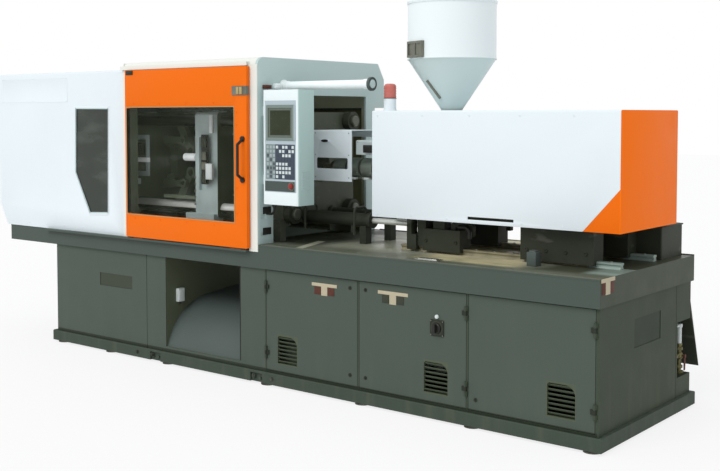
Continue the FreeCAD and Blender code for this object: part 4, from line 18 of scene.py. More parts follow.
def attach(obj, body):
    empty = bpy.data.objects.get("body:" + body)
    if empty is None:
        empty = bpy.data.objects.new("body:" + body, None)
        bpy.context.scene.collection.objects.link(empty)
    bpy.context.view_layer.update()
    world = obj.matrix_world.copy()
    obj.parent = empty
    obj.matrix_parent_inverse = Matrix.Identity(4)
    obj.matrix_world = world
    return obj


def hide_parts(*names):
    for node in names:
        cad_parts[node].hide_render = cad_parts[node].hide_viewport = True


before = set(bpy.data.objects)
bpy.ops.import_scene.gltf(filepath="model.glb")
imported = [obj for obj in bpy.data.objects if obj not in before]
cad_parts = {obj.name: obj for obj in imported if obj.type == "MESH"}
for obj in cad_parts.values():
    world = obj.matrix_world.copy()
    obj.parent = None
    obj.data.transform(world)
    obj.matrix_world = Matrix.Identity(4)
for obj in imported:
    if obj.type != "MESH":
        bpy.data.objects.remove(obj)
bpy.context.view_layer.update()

log = logging.getLogger("machine")
ORIGIN = Vector((2.55, -0.0165, 0))
Point = tuple[float, float, float]
Colour = tuple[int, int, int]
Zone = tuple[Point, Point, Colour]
Piece = bpy.types.Object
FaceTest = Callable[[bmesh.types.BMFace], bool]


def at(x: float, y: float, z: float) -> Vector:
    """A point of the machine, given in millimetres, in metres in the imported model's row frame."""
    return Vector((x, y, z)) / 1000 + ORIGIN


def along(*places: float) -> tuple[float, ...]:
    """Places along the machine, in millimetres, as x in the row frame."""
    return tuple(at(x, 0, 0).x for x in places)


def linear(colour: Colour, share: float = 1) -> tuple[float, float, float, float]:
    """A share of an sRGB colour of 0 to 255, as linear light with full alpha."""
    values = [channel / 255 for channel in colour]
    return (*(share * (v / 12.92 if v <= 0.04045 else ((v + 0.055) / 1.055) ** 2.4) for v in values), 1)


def turned_to(way: Vector) -> tuple[float, float, float]:
    """Euler angles that turn the Z axis to a direction."""
    return tuple(way.to_track_quat("Z", "Y").to_euler())


class Axis(Enum):
    """Directions that pieces are turned or laid along."""

    X = (1, 0, 0)
    Y = (0, 1, 0)
    Z = (0, 0, 1)
    FRONT = (0, -1, 0)
    BACK_X = (-1, 0, 0)
    DOWN = (0, 0, -1)

    @property
    def vector(self) -> Vector:
        """The direction as a vector."""
        return Vector(self.value)


# ---- materials ---------------------------------------------------------------------------------
def operator(operation: str, swapped: bool = False) -> "Callable[[Wire, float | Wire], Wire]":
    """Makes one of Wire's operators.

    Args:
        operation: what the Math node does.
        swapped: True where the other value comes first.
    Returns:
        The operator's method.
    """
    def method(wire: "Wire", other: "float | Wire") -> "Wire":
        """Adds the Math node."""
        return wire.maths(operation, other, wire) if swapped else wire.maths(operation, wire, other)
    return method


class Wire:
    """A node's output on which Python's operators add Math nodes."""

    __add__, __radd__ = operator("ADD"), operator("ADD", True)
    __sub__, __rsub__ = operator("SUBTRACT"), operator("SUBTRACT", True)
    __mul__, __truediv__ = operator("MULTIPLY"), operator("DIVIDE")
    __gt__, __lt__ = operator("GREATER_THAN"), operator("LESS_THAN")

    def __init__(self, graph: "Graph", socket: bpy.types.NodeSocket | None) -> None:
        """Wraps one output socket of a graph."""
        self.graph = graph
        self.socket = socket

    def maths(self, operation: str, *values: "float | Wire") -> "Wire":
        """Adds a Math node with these values and returns its output."""
        return self.graph.node("ShaderNodeMath", {"operation": operation}, dict(enumerate(values)))

    def floor(self) -> "Wire":
        """The whole number below."""
        return self.maths("FLOOR", self)

    def between(self, low: float, high: float) -> "Wire":
        """1 between two limits, else 0."""
        return (self > low) * (self < high)

    def smooth(self, low: float, high: float) -> "Wire":
        """0 below low and 1 above high, with a smooth step between."""
        return self.graph.node("ShaderNodeMapRange", {"interpolation_type": "SMOOTHSTEP"},
                               {0: self, 1: low, 2: high, 3: 0, 4: 1})


class Graph:
    """A node tree that is filled by expressions."""

    def __init__(self, tree: bpy.types.NodeTree) -> None:
        """Takes a node tree and empties it."""
        self.tree = tree
        tree.nodes.clear()

    def node(self, kind: str, settings: dict | None = None, inputs: dict | None = None,
             output: int | str = 0) -> Wire:
        """Adds a node.

        Args:
            kind: the node's type name.
            settings: its properties, set first.
            inputs: values or wires by the name or number of their socket.
            output: name or number of the output to return.
        Returns:
            The chosen output.
        """
        made = self.tree.nodes.new(kind)
        for name, value in (settings or {}).items():
            setattr(made, name, value)
        for name, value in (inputs or {}).items():
            if isinstance(value, Wire):
                self.tree.links.new(value.socket, made.inputs[name])
            else:
                made.inputs[name].default_value = value
        return Wire(self, made.outputs[output] if len(made.outputs) else None)

    def outputs(self, kind: str, names: Sequence[str], inputs: dict | None = None) -> list[Wire]:
        """Adds a node and returns its outputs of these names."""
        found = self.node(kind, inputs=inputs).socket.node.outputs
        return [Wire(self, found[name]) for name in names]

    def place(self) -> Wire:
        """Position on the piece, in metres in the row frame."""
        return self.node("ShaderNodeTexCoord", output="Object")

    def split(self, vector: Wire) -> list[Wire]:
        """The three parts of a vector."""
        return self.outputs("ShaderNodeSeparateXYZ", "XYZ", {0: vector})

    def noise(self, vector: Wire, scale: float, detail: float) -> Wire:
        """Soft noise of 0 to 1 at a scale given per metre."""
        return self.node("ShaderNodeTexNoise",
                         inputs={"Vector": vector, "Scale": scale, "Detail": detail})

    def streaks(self, place: Wire, scale: Point, detail: float) -> Wire:
        """Noise at a different scale along each axis."""
        vector = self.node("ShaderNodeVectorMath", {"operation": "MULTIPLY"}, {0: place, 1: scale})
        return self.noise(vector, 1, detail)

    def mix(self, share: "float | Wire", first: "Wire | tuple", second: "Wire | tuple") -> Wire:
        """Blends two colours; one of three numbers is an sRGB colour of 0 to 255."""
        ends = [linear(end) if isinstance(end, tuple) and len(end) == 3 else end
                for end in (first, second)]
        return self.node("ShaderNodeMix", {"data_type": "RGBA"}, {0: share, 6: ends[0], 7: ends[1]}, 2)

    def tint(self, colour: Wire, place: Wire, zones: tuple[Zone, ...]) -> Wire:
        """Changes a colour inside boxes.

        Args:
            colour: the colour outside every box.
            place: the surface's place.
            zones: lowest place, highest place and colour of each box.
        Returns:
            The changed colour.
        """
        parts = self.split(place)
        for first, last, other in zones:
            inside = [part.between(low, high) for part, low, high in zip(parts, at(*first), at(*last))]
            colour = self.mix(inside[0] * inside[1] * inside[2], colour, other)
        return colour

    def grain(self, place: Wire, scale: float, detail: float, strength: float,
              depth: float = 0.0006) -> Wire:
        """A normal from fine noise, depth in metres."""
        return self.bump(self.noise(place, scale, detail), strength, depth)

    def bump(self, height: Wire, strength: float, depth: float) -> Wire:
        """A normal from a height, depth in metres."""
        return self.node("ShaderNodeBump",
                         inputs={"Height": height, "Strength": strength, "Distance": depth})

    def surface(self, **sockets: "Wire | float | tuple") -> None:
        """Ends the graph in a Principled shader with these sockets, named with underscores for spaces."""
        inputs = {name.replace("_", " "): value for name, value in sockets.items()}
        shader = self.node("ShaderNodeBsdfPrincipled", inputs=inputs)
        self.node("ShaderNodeOutputMaterial", inputs={"Surface": shader})


@dataclass(frozen=True)
class Finish:
    """The record's slot that a finish stands for, its colour, roughness and boxes of another colour."""

    slot: str
    colour: Colour
    roughness: float = 0.4
    zones: tuple[Zone, ...] = ()

    def shade(self, graph: Graph, place: Wire) -> None:
        """Fills the node tree; each kind of finish has its own."""
        raise NotImplementedError

    def material(self, name: str) -> bpy.types.Material:
        """Makes the material of this name."""
        made = bpy.data.materials.new(name)
        made.use_nodes = True
        graph = Graph(made.node_tree)
        self.shade(graph, graph.place())
        return made


@dataclass(frozen=True)
class Paint(Finish):
    """Sprayed or powder-coated sheet, with orange peel, faint clouds and dust low down."""

    peel: float = 0.14
    cloud: float = 0.1
    grime: float = 0
    gloss: float = 0.22
    dust: Colour = (112, 108, 92)

    def shade(self, graph: Graph, place: Wire) -> None:
        """Clouds, then dust, then the boxes of another colour, and specks over all."""
        deep = linear(self.colour, 0.8)
        cloud = graph.noise(place, 1.7, 4).smooth(0.3, 0.72)
        colour = graph.mix(cloud * self.cloud, self.colour, deep)
        if self.grime:
            low = 1 - graph.split(place)[2].smooth(0.02, 0.5)
            streak = graph.streaks(place, (14, 14, 1.6), 4).smooth(0.45, 0.75)
            colour = graph.mix((low * 0.8 + 0.2) * streak * self.grime, colour, self.dust)
        colour = graph.tint(colour, place, self.zones)
        colour = graph.mix((graph.noise(place, 240, 3) - 0.5) * 0.1 + 0.05, colour, deep)
        roughness = self.roughness + (graph.noise(place, 6, 3) - 0.5) * 0.22
        graph.surface(Base_Color=colour, Roughness=roughness, Specular_IOR_Level=self.gloss,
                      Normal=graph.grain(place, 330, 1, self.peel))


@dataclass(frozen=True)
class BedPaint(Finish):
    """The bed: grey sides, and a worn top that is tan where spilled oil has soaked in."""

    top: Colour = (100, 104, 90)
    oiled: Colour = (190, 180, 140)
    top_height: float = 885
    # Painted shade: the bed's end face is darker.
    zones: tuple[Zone, ...] = (((9, -640, 730), (12, 640, 886.5), (62, 70, 56)),)

    def shade(self, graph: Graph, place: Wire) -> None:
        """Grey below the top edge; above it the worn top with oiled parts, a pale patch, painted light and
        painted shade.
        """
        x, y, z = graph.split(place)
        upper = z > at(0, 0, self.top_height).z
        spill = graph.noise(place, 4.2, 5).smooth(0.44, 0.6)
        streak = graph.streaks(place, (1.5, 16, 1), 4).smooth(0.42, 0.66)
        oily = graph.mix(streak * 0.45, self.oiled, (208, 200, 164))
        # Painted light: the oil's part behind about y -300, which the hood shades, is lightened to a pale
        # tan.
        oily = graph.mix(y.smooth(-0.44, -0.26) * 0.8, oily, (238, 226, 186))
        # Painted light: the top right of the arch and behind its front band is lightened to a pale grey,
        # against the shade of the arch and hood.
        rubbed_and_painted_light = x.smooth(*along(-2120, -1900)) * y.smooth(-0.5, -0.3) * 0.7
        oil = x.smooth(*along(-1330, -1130)) * y.smooth(-0.545,
                                                        -0.475) * (1 - x.smooth(*along(-640, -470)))
        # Painted shade: the top from about x -500 to the end, behind its front band, is a dark olive, the
        # hood's shadow.
        far = x.smooth(*along(-520, -360)) * y.smooth(-0.56, -0.44)
        # A paler, bluer grey patch near the bed's end, from x -200 to the end, between about y -500 and
        # -180.
        pale_patch = x.smooth(*along(-200, -120)) * y.smooth(-0.53, -0.43) * (y < -0.2)
        # Painted shade: the top under the arch, left of about x -2000 and behind its front band, is dark.
        arch_painted_shade = (1 - x.smooth(*along(-2180, -1960))) * y.smooth(-0.5, -0.36)
        shine = (x + y * 0.342).between(*along(-2250, -2190)) * y.between(-0.6, -0.22)
        top = graph.mix(spill * 0.4, self.top, (78, 84, 70))
        for share, other in ((rubbed_and_painted_light, (176, 178, 158)), (oil * (1 - spill * 0.35), oily),
                             (far, (66, 70, 54)), (pale_patch * (streak * 0.3 + 0.6), (150, 168, 158)),
                             (arch_painted_shade, (50, 54, 42)), (shine * 0.8, (188, 190, 166))):
            top = graph.mix(share, top, other)
        side = graph.mix(graph.noise(place, 1.9, 4) * 0.3, self.colour, (62, 71, 65))
        colour = graph.tint(graph.mix(upper, side, top), place, self.zones)
        colour = graph.mix((graph.noise(place, 260, 2) - 0.5) * 0.16 + 0.08, colour, (50, 54, 46))
        roughness = 0.5 - upper * spill * 0.16 + (graph.noise(place, 8, 3) - 0.5) * 0.2
        graph.surface(Base_Color=colour, Roughness=roughness, Specular_IOR_Level=0.2,
                      Normal=graph.grain(place, 300, 1, 0.16))


@dataclass(frozen=True)
class Metal(Finish):
    """Bare metal with machining lines along one axis."""

    roughness: float = 0.3
    lines: Point = (6, 500, 500)
    depth: float = 0.1
    metallic: float = 1
    stain: float = 0.25
    stain_colour: Colour = (70, 68, 56)

    def shade(self, graph: Graph, place: Wire) -> None:
        """Fine lines in height and gloss, with oily clouds and greased lengths."""
        lines = graph.streaks(place, self.lines, 3)
        cloud = graph.noise(place, 9, 4).smooth(0.42, 0.74)
        colour = graph.mix((lines - 0.5) * 0.35 + 0.18, self.colour, linear(self.colour, 0.72))
        colour = graph.mix(cloud * self.stain, colour, self.stain_colour)
        graph.surface(Base_Color=graph.tint(colour, place, self.zones), Metallic=self.metallic,
                      Roughness=self.roughness + (lines - 0.5) * 0.2 + cloud * 0.12,
                      Normal=graph.bump(lines, self.depth, 0.0004))


@dataclass(frozen=True)
class Cast(Finish):
    """Cast or painted iron: grainy, with rubbed and oily places."""

    roughness: float = 0.55
    grain: float = 0.35
    rub: Colour = (150, 150, 140)
    rubbed_and_painted_light: float = 0.12

    def shade(self, graph: Graph, place: Wire) -> None:
        """Sand grain in the height, clouds in the colour and gloss."""
        grain = graph.noise(place, 130, 4)
        cloud = graph.noise(place, 5, 5).smooth(0.35, 0.7)
        rubbed_and_painted_light = graph.streaks(place, (5, 9, 14), 5).smooth(0.6, 0.72)
        colour = graph.mix(cloud * 0.45, self.colour, linear(self.colour, 0.62))
        colour = graph.mix(rubbed_and_painted_light * self.rubbed_and_painted_light, colour, self.rub)
        graph.surface(Base_Color=graph.tint(colour, place, self.zones), Specular_IOR_Level=0.25,
                      Roughness=self.roughness + (grain - 0.5) * 0.18 - rubbed_and_painted_light * 0.12,
                      Normal=graph.bump(grain, self.grain, 0.001))


@dataclass(frozen=True)
class Moulded(Finish):
    """Plastic or rubber with a fine moulded grain."""

    roughness: float = 0.45
    grain: float = 0.12
    emission: float = 0

    def shade(self, graph: Graph, place: Wire) -> None:
        """Fine grain, with slight handling marks in the gloss."""
        marks = graph.noise(place, 26, 4)
        colour = graph.mix(marks.smooth(0.4, 0.75) * 0.18, self.colour, linear(self.colour, 0.75))
        light = {"Emission_Color": linear(self.colour), "Emission_Strength": self.emission}
        glow = light if self.emission else {}
        graph.surface(Base_Color=colour, Roughness=self.roughness + (marks - 0.5) * 0.2,
                      Specular_IOR_Level=0.3, Normal=graph.grain(place, 700, 2, self.grain, 0.0003),
                      **glow)


@dataclass(frozen=True)
class Pane(Finish):
    """See-through pane with wiped smears."""

    alpha: float = 0.2
    roughness: float = 0.06
    smears: float = 0.3

    def shade(self, graph: Graph, place: Wire) -> None:
        """A thin film of the colour; the smears cover a little more and shine less."""
        smear = graph.streaks(place, (3, 3, 9), 5).smooth(0.45, 0.75)
        graph.surface(Base_Color=graph.mix(smear * self.smears, self.colour, (170, 176, 170)), IOR=1.45,
                      Roughness=smear * 0.1 + self.roughness, Alpha=smear * 0.05 + self.alpha)


@dataclass(frozen=True)
class Keyboard(Finish):
    """The operating panel: grey bezel, dark screen, coloured keys and the dark strip below."""

    left: float = -2266
    right: float = -2007
    screen_low: float = 1562
    screen_high: float = 1745
    screen_margin: float = 30
    screen_rim: float = 15
    keys_low: float = 1309
    keys_high: float = 1517
    keys_rim: float = 4
    key_pitch: float = 26
    key_half: float = 8.8
    columns: int = 9
    plain_columns: int = 3
    strip_low: float = 1231
    strip_high: float = 1293
    strip_gap: float = 8

    def shade(self, graph: Graph, place: Wire) -> None:
        """Each zone by its place on the panel, the keys by a cell of their grid."""
        x, _, z = graph.split(place)
        across, up = (x - along(self.left)[0]) * 1000, z * 1000
        width = self.right - self.left
        first = width / 2 - self.columns * self.key_pitch / 2

        def glass_within(side: float, end: float) -> Wire:
            """1 inside the screen's outline moved in by these amounts."""
            return (across.between(self.screen_margin + side, width - self.screen_margin - side)
                    * up.between(self.screen_low + end, self.screen_high - end))

        def cells(way: Wire, start: float) -> tuple[Wire, Wire]:
            """Number of the key along one way, and 1 over its width."""
            number = ((way - start) / self.key_pitch).floor()
            off = way - start - (number + 0.5) * self.key_pitch
            return number, off.between(-self.key_half, self.key_half)

        (column, wide), (row, high) = cells(across, first), cells(up, self.keys_low)
        cell = graph.node("ShaderNodeCombineXYZ", inputs={0: column, 1: row, 2: 3})
        pick = graph.node("ShaderNodeTexWhiteNoise", {"noise_dimensions": "3D"}, {"Vector": cell})
        keys = (across.between(first - self.keys_rim, width - first + self.keys_rim)
                * up.between(self.keys_low - self.keys_rim, self.keys_high + self.keys_rim))
        navy = across > first + self.plain_columns * self.key_pitch - 3
        pale = graph.mix(pick > 0.3, (82, 92, 96), (160, 174, 174))
        bright = graph.mix(pick > 0.45, (66, 76, 88), (206, 216, 216))
        sheen = graph.streaks(place, (7, 1, 11), 3).smooth(0.35, 0.8)
        glass = graph.mix(sheen * 0.4, (42, 49, 30), (62, 70, 48))
        glass = graph.mix(glass_within(self.screen_rim, self.screen_rim), (98, 108, 98), glass)
        strip = up.between(self.strip_low, self.strip_high) * (across < width - self.strip_gap)
        screen = glass_within(0, 0)
        colour = self.colour
        for share, other in ((keys, graph.mix(navy, (126, 140, 140), (68, 78, 90))),
                             (keys * (wide * high), graph.mix(navy, pale, bright)), (strip, (72, 82, 78)),
                             (glass_within(-16, -18), (122, 136, 130)), (screen, glass)):
            colour = graph.mix(share, colour, other)
        roughness = 0.46 - screen * 0.2 + (graph.noise(place, 40, 3) - 0.5) * 0.12
        graph.surface(Base_Color=colour, Roughness=roughness, Specular_IOR_Level=0.2,
                      Normal=graph.grain(place, 800, 2, 0.08, 0.0003))


class Coat(Enum):
    """Every finish that the machine has."""

    # ORANGE's box is painted light: the hood's end face gets a brighter, yellower orange, which makes up
    # for the lesser light on that side.
    ORANGE = Paint("orange_paint", (239, 110, 8), 0.5, gloss=0.12,
                   zones=(((-5, -380, 1080), (2, 380, 1810), (254, 118, 0)),))
    # REAR_ORANGE's box is painted shade: the rear gate's inner side, facing the mould, is a dark olive.
    REAR_ORANGE = Paint("orange_paint", (239, 110, 8), 0.5, gloss=0.12,
                        zones=(((-3700, 500, 800), (-2300, 646.5, 2100), (96, 108, 78)),))
    WHITE = Paint("white_paint", (229, 238, 242), 0.42, peel=0.1)
    # BOX_WHITE's box is painted shade: the operator's box's side face, which looks towards the injection
    # end, is a grey-green.
    BOX_WHITE = Paint("white_paint", (232, 242, 243), 0.42, cloud=0.06,
                      zones=(((-1993, -620, 1100), (-1980, -440, 1900), (184, 210, 206)),))
    # HOPPER_WHITE's box is painted shade: the hopper below its band, the cone that faces down, is greyer.
    HOPPER_WHITE = Paint("white_paint", (236, 244, 246), cloud=0.06,
                         zones=(((-1560, -290, 1700), (-1000, 290, 2039), (201, 217, 216)),))
    # FRAME_WHITE's boxes are painted shade inside the mould guard: dark olive over the inside, a paler
    # green-grey right of x -3440 and behind y -400, and a dark strip on the post behind the gate's left
    # edge.
    FRAME_WHITE = Paint("white_paint", (232, 234, 226), 0.42,
                        zones=(((-3600, -590, 800), (-2346, 640, 2045), (90, 98, 74)),
                               ((-3440, -400, 800), (-2346, 640, 2045), (188, 196, 166)),
                               ((-3546, -660, 860), (-3500, -560, 2005), (74, 82, 64))))
    ARCH = Paint("arch_paint", (190, 210, 208), 0.46, cloud=0.16)
    GREY = Paint("grey_paint", (75, 86, 77), 0.55, cloud=0.28, peel=0.3, grime=0.12,
                 # Painted light: the bay's inside is a lighter, yellower grey, which lifts the deep shade
                 # in there.
                 zones=(((-3240, -584, 92), (-2480, 590, 740), (90, 96, 76)),
                        # Painted shade: the recess in the left panel is darker.
                        ((-3926, -587.6, 475), (-3569, -560, 569), (58, 65, 51)),
                        # Painted shadow: a dark band along the bases' foot, just above the plinth.
                        ((-4500, -640, 80), (0, 640, 106), (46, 54, 42)),
                        ((-2300, -640, 90), (0, -588.6, 735), (40, 44, 35)),
                        ((-2185, -640, 146), (-2016, -500, 336), (80, 88, 70)),
                        ((-1072, -640, 144), (-905, -500, 337), (80, 88, 70)),
                        ((-300, -640, 145), (-128, -500, 334), (80, 88, 70))))
    # This darker copy of the grey paint is painted shade for the injection base, whose end face gets less
    # light. Its boxes are painted shade too: in the end face's recess and at the rear corner by the water
    # pipes, and a painted shadow along the front face's foot.
    END_GREY = Paint("grey_paint", (66, 75, 62), 0.58, cloud=0.32, peel=0.3, grime=0.16,
                     gloss=0.12, zones=(((-6, -181, 469), (-0.5, 161, 626), (56, 65, 54)),
                                        ((-305, 395, 190), (-0.5, 589, 500), (46, 52, 40)),
                                        ((-2300, -640, 80), (-8, -560, 106), (46, 54, 42))))
    # PLINTH's box is painted shadow: a dark line along the front edge of the plinth's top.
    PLINTH = Paint("plinth_paint", (66, 77, 67), 0.62, cloud=0.35, peel=0.35, grime=0.2,
                   gloss=0.15, zones=(((-4500, -640, 87), (12, -560, 89), (44, 52, 40)),))
    BED = BedPaint("plinth_paint", (75, 86, 79))
    CHUTE = Paint("chute_sheet", (80, 90, 86), 0.5, cloud=0.4, peel=0.12)
    # PLATEN's box is painted shade: the moving platen's mould face is dark olive.
    PLATEN = Cast("platen_iron", (176, 192, 190), 0.46, grain=0.2, rubbed_and_painted_light=0.3,
                  rub=(214, 222, 218), zones=(((-2944, -380, 1000), (-2939, 380, 1800), (66, 72, 52)),))
    # This darker copy of the platen iron is painted shade: the fixed platen, deep in the arch, is dark.
    DARK_PLATEN = Cast("platen_iron", (74, 80, 66), 0.52, grain=0.2, rubbed_and_painted_light=0.2,
                       rub=(128, 130, 116))
    LINK = Cast("link_iron", (108, 117, 98), 0.5, rubbed_and_painted_light=0.45, rub=(150, 158, 150))
    GROUND = Metal("ground_steel", (206, 208, 202), 0.26)
    DULL = Metal("ground_steel", (120, 122, 110), 0.42, metallic=0.5, stain=0.4)
    # CHROME's boxes are painted shade: the upper tie bars, the lower bars' undersides and the bars' ends by
    # the fixed platen are darkened.
    CHROME = Metal("bar_chrome", (226, 228, 222), lines=(700, 30, 30), depth=0.04, stain=0.08,
                   metallic=0.35, zones=(((-4100, -400, 1400), (-2000, 400, 1800), (38, 42, 32)),
                                         ((-4100, -400, 1000), (-2000, 400, 1054), (46, 50, 40)),
                                         ((-2400, -400, 1000), (-2000, 400, 1800), (84, 88, 76))))
    BARREL = Metal("barrel_steel", (168, 162, 150), 0.36, lines=(600, 20, 20), stain=0.4,
                   stain_colour=(104, 82, 56))
    BAND = Metal("band_steel", (146, 156, 144), 0.38, lines=(40, 300, 300), stain=0.3,
                 stain_colour=(84, 78, 60), metallic=0.6)
    BLACK_IRON = Cast("carriage_iron", (50, 54, 42), 0.6, grain=0.5, rubbed_and_painted_light=0.15)
    MOTOR = Paint("motor_paint", (82, 98, 104), 0.44, cloud=0.3)
    # This dark copy of the motor paint is painted shade: the carriage and clamp cylinders and their pipes
    # sit in shadow.
    OILY_MOTOR = Paint("motor_paint", (52, 56, 46), 0.5, cloud=0.3)
    PLATE = Metal("plate_steel", (196, 208, 206), 0.44, lines=(60, 60, 60), stain=0.12,
                  metallic=0.15)
    BRASS = Metal("brass", (120, 116, 74), 0.44, lines=(80, 80, 80), stain=0.5, metallic=0.7)
    RAIL = Metal("ground_steel", (150, 144, 116), 0.46, metallic=0.2, stain=0.6,
                 zones=(((-240, -300, 880), (0, 300, 930), (148, 166, 158)),))
    CLEAR = Pane("clear_pane", (96, 106, 84), alpha=0.04)
    DARK_PANE = Pane("dark_pane", (40, 47, 38), 0.24, alpha=0.93, smears=0.08)
    PANEL = Keyboard("panel_plastic", (176, 190, 196))
    RED = Moulded("red_plastic", (146, 48, 44), 0.34)
    LENS = Moulded("red_plastic", (198, 112, 102), 0.28, emission=0.04)
    BLACK = Moulded("black_plastic", (34, 34, 30), 0.46, grain=0.25)
    RUBBER = Moulded("black_plastic", (40, 42, 36), 0.7, grain=0.35)
    # LAMP's faint emission is a painted glow: every part in this finish glows a little, though only the
    # work lamp among them is a lamp.
    LAMP = Moulded("lamp_plastic", (240, 247, 247), 0.32, emission=0.04)
    SIGHT = Moulded("sight_plastic", (212, 220, 218), 0.34)
    SEAL = Moulded("sight_plastic", (176, 158, 112), 0.55)
    PALE_LABEL = Moulded("sight_plastic", (186, 176, 150), 0.6)
    RED_LABEL = Moulded("red_plastic", (84, 46, 34), 0.65)
    DARK_LABEL = Moulded("black_plastic", (52, 56, 44), 0.6)
    PAD = Metal("pad_steel", (98, 98, 90), 0.55, stain=0.5)
    ZINC = Metal("plate_steel", (170, 172, 164), 0.38, lines=(200, 200, 200), depth=0.05,
                 metallic=0.7)

    @cached_property
    def material(self) -> bpy.types.Material:
        """The finish's material, made at its first use."""
        return self.value.material(self.name.lower())


# ---- modelling ---------------------------------------------------------------------------------
@dataclass(frozen=True)
class Bench:
    """Modelling by hand: primitives are added in place and shaped with edit operators.

    Attributes:
        weld: distance in metres below which points are merged.
        flat, sharp, smooth: angles in degrees up to which faces are merged, above which edges are
            rounded and up to which the shading is smooth.
        facing: least cosine between a face's normal and the way that it is said to look.
        bend_steps, pipe_sides: numbers of flats along a pipe's bend and round it.
    """

    weld: float = 0.00002
    flat: float = 0.8
    sharp: float = 35
    smooth: float = 38
    facing: float = 0.9
    bend_steps: int = 6
    pipe_sides: int = 14

    def clear(self) -> None:
        """Leaves edit mode and deselects everything."""
        if bpy.context.mode != "OBJECT":
            bpy.ops.object.mode_set(mode="OBJECT")
        bpy.ops.object.select_all(action="DESELECT")

    def take(self, *pieces: Piece) -> None:
        """Selects these pieces alone and makes the first the active one."""
        self.clear()
        for piece in pieces:
            piece.select_set(True)
        bpy.context.view_layer.objects.active = pieces[0]

    def edit(self, piece: Piece, mode: str, action: str = "SELECT") -> None:
        """Opens a piece for editing with all or none of it selected."""
        self.take(piece)
        bpy.ops.object.mode_set(mode="EDIT")
        bpy.ops.mesh.select_mode(type=mode)
        bpy.ops.mesh.select_all(action=action)

    def done(self, outward: bool = False) -> None:
        """Leaves edit mode, after turning every face outward where that is asked for."""
        if outward:
            bpy.ops.mesh.select_all(action="SELECT")
            bpy.ops.mesh.normals_make_consistent(inside=False)
        bpy.ops.object.mode_set(mode="OBJECT")

    def pull(self, move: Vector) -> None:
        """Extrudes what is selected by a move in metres."""
        bpy.ops.mesh.extrude_region_move(TRANSFORM_OT_translate={"value": tuple(move)})

    def settle(self, name: str) -> Piece:
        """Names the new primitive and puts its place and size in its mesh."""
        piece = bpy.context.object
        piece.name = piece.data.name = name
        bpy.ops.object.transform_apply(location=True, rotation=True, scale=True)
        return piece

    def block(self, name: str, low: Point, high: Point) -> Piece:
        """Adds a box.

        Args:
            name: the piece's name.
            low, high: its lowest and highest corners in millimetres.
        Returns:
            The box, still to be shaped.
        """
        self.clear()
        first, last = at(*low), at(*high)
        bpy.ops.mesh.primitive_cube_add(size=1, location=(first + last) / 2)
        bpy.context.object.scale = last - first
        return self.settle(name)

    def drum(self, name: str, base: Point, way: "Axis | Vector", radius: float, height: float,
             sides: int) -> Piece:
        """Adds a round bar.

        Args:
            name: the piece's name.
            base: middle of its first end in millimetres.
            way: direction from the first end to the other.
            radius, height: its sizes in millimetres.
            sides: number of flats round it.
        Returns:
            The bar, still to be shaped.
        """
        self.clear()
        heading = way.vector if isinstance(way, Axis) else way
        bpy.ops.mesh.primitive_cylinder_add(vertices=sides, radius=radius / 1000, depth=height / 1000,
                                            location=at(*base) + heading * height / 2000,
                                            rotation=turned_to(heading))
        return self.settle(name)

    def pick(self, piece: Piece, test: FaceTest) -> None:
        """Enters edit mode with the faces selected for which the test holds."""
        self.edit(piece, "FACE", "DESELECT")
        mesh = bmesh.from_edit_mesh(piece.data)
        for face in mesh.faces:
            face.select_set(bool(test(face)))
        bmesh.update_edit_mesh(piece.data)

    def sink(self, piece: Piece, way: Axis, margin: float, depth: float) -> None:
        """Insets the faces that look one way and moves them in.

        Args:
            piece: the piece to shape.
            way: where the faces look.
            margin: width of the rim that stays, in millimetres.
            depth: how far the rest goes in; a negative depth raises it.
        """
        self.pick(piece, lambda face: face.normal.dot(way.vector) > self.facing)
        bpy.ops.mesh.inset(thickness=margin / 1000)
        self.pull(way.vector * -depth / 1000)
        self.done()

    def hollow(self, piece: Piece, way: Axis, wall: float) -> None:
        """Opens a round bar along its axis, so that a ring with a closed inner wall stays.

        Args:
            piece: the bar.
            way: its axis.
            wall: the ring's width in millimetres.
        """
        self.pick(piece, lambda face: abs(face.normal.dot(way.vector)) > self.facing)
        bpy.ops.mesh.inset(thickness=wall / 1000)
        bpy.ops.mesh.bridge_edge_loops()
        self.done(outward=True)

    def ease(self, piece: Piece, width: float, steps: int = 2) -> None:
        """Rounds a piece's sharp edges by a width in millimetres and smooths its shading."""
        self.take(piece)
        bevel = piece.modifiers.new("edges", "BEVEL")
        bevel.width, bevel.segments = width / 1000, steps
        bevel.limit_method, bevel.angle_limit = "ANGLE", math.radians(self.sharp)
        bpy.ops.object.modifier_apply(modifier=bevel.name)
        bpy.ops.object.shade_smooth_by_angle(angle=math.radians(self.smooth))

    def sheet(self, name: str, corners: Sequence[Point], rise: Point, rim: float = 0) -> Piece:
        """Adds a flat plate or frame.

        Args:
            name: the piece's name.
            corners: its outline in millimetres, in order.
            rise: its thickness, as the move from the outline to its other face.
            rim: where it isn't 0, only a rim of this width stays.
        Returns:
            The plate, closed all round.
        """
        self.clear()
        bpy.ops.mesh.primitive_circle_add(vertices=len(corners), radius=0.1, fill_type="NGON")
        piece = bpy.context.object
        piece.name = piece.data.name = name
        for vertex, corner in zip(piece.data.vertices, corners):
            vertex.co = at(*corner)
        self.edit(piece, "FACE")
        if rim:
            bpy.ops.mesh.inset(thickness=rim / 1000)
            bpy.ops.mesh.delete(type="FACE")
            bpy.ops.mesh.select_all(action="SELECT")
        self.pull(Vector(rise) / 1000)
        self.done(outward=True)
        return piece

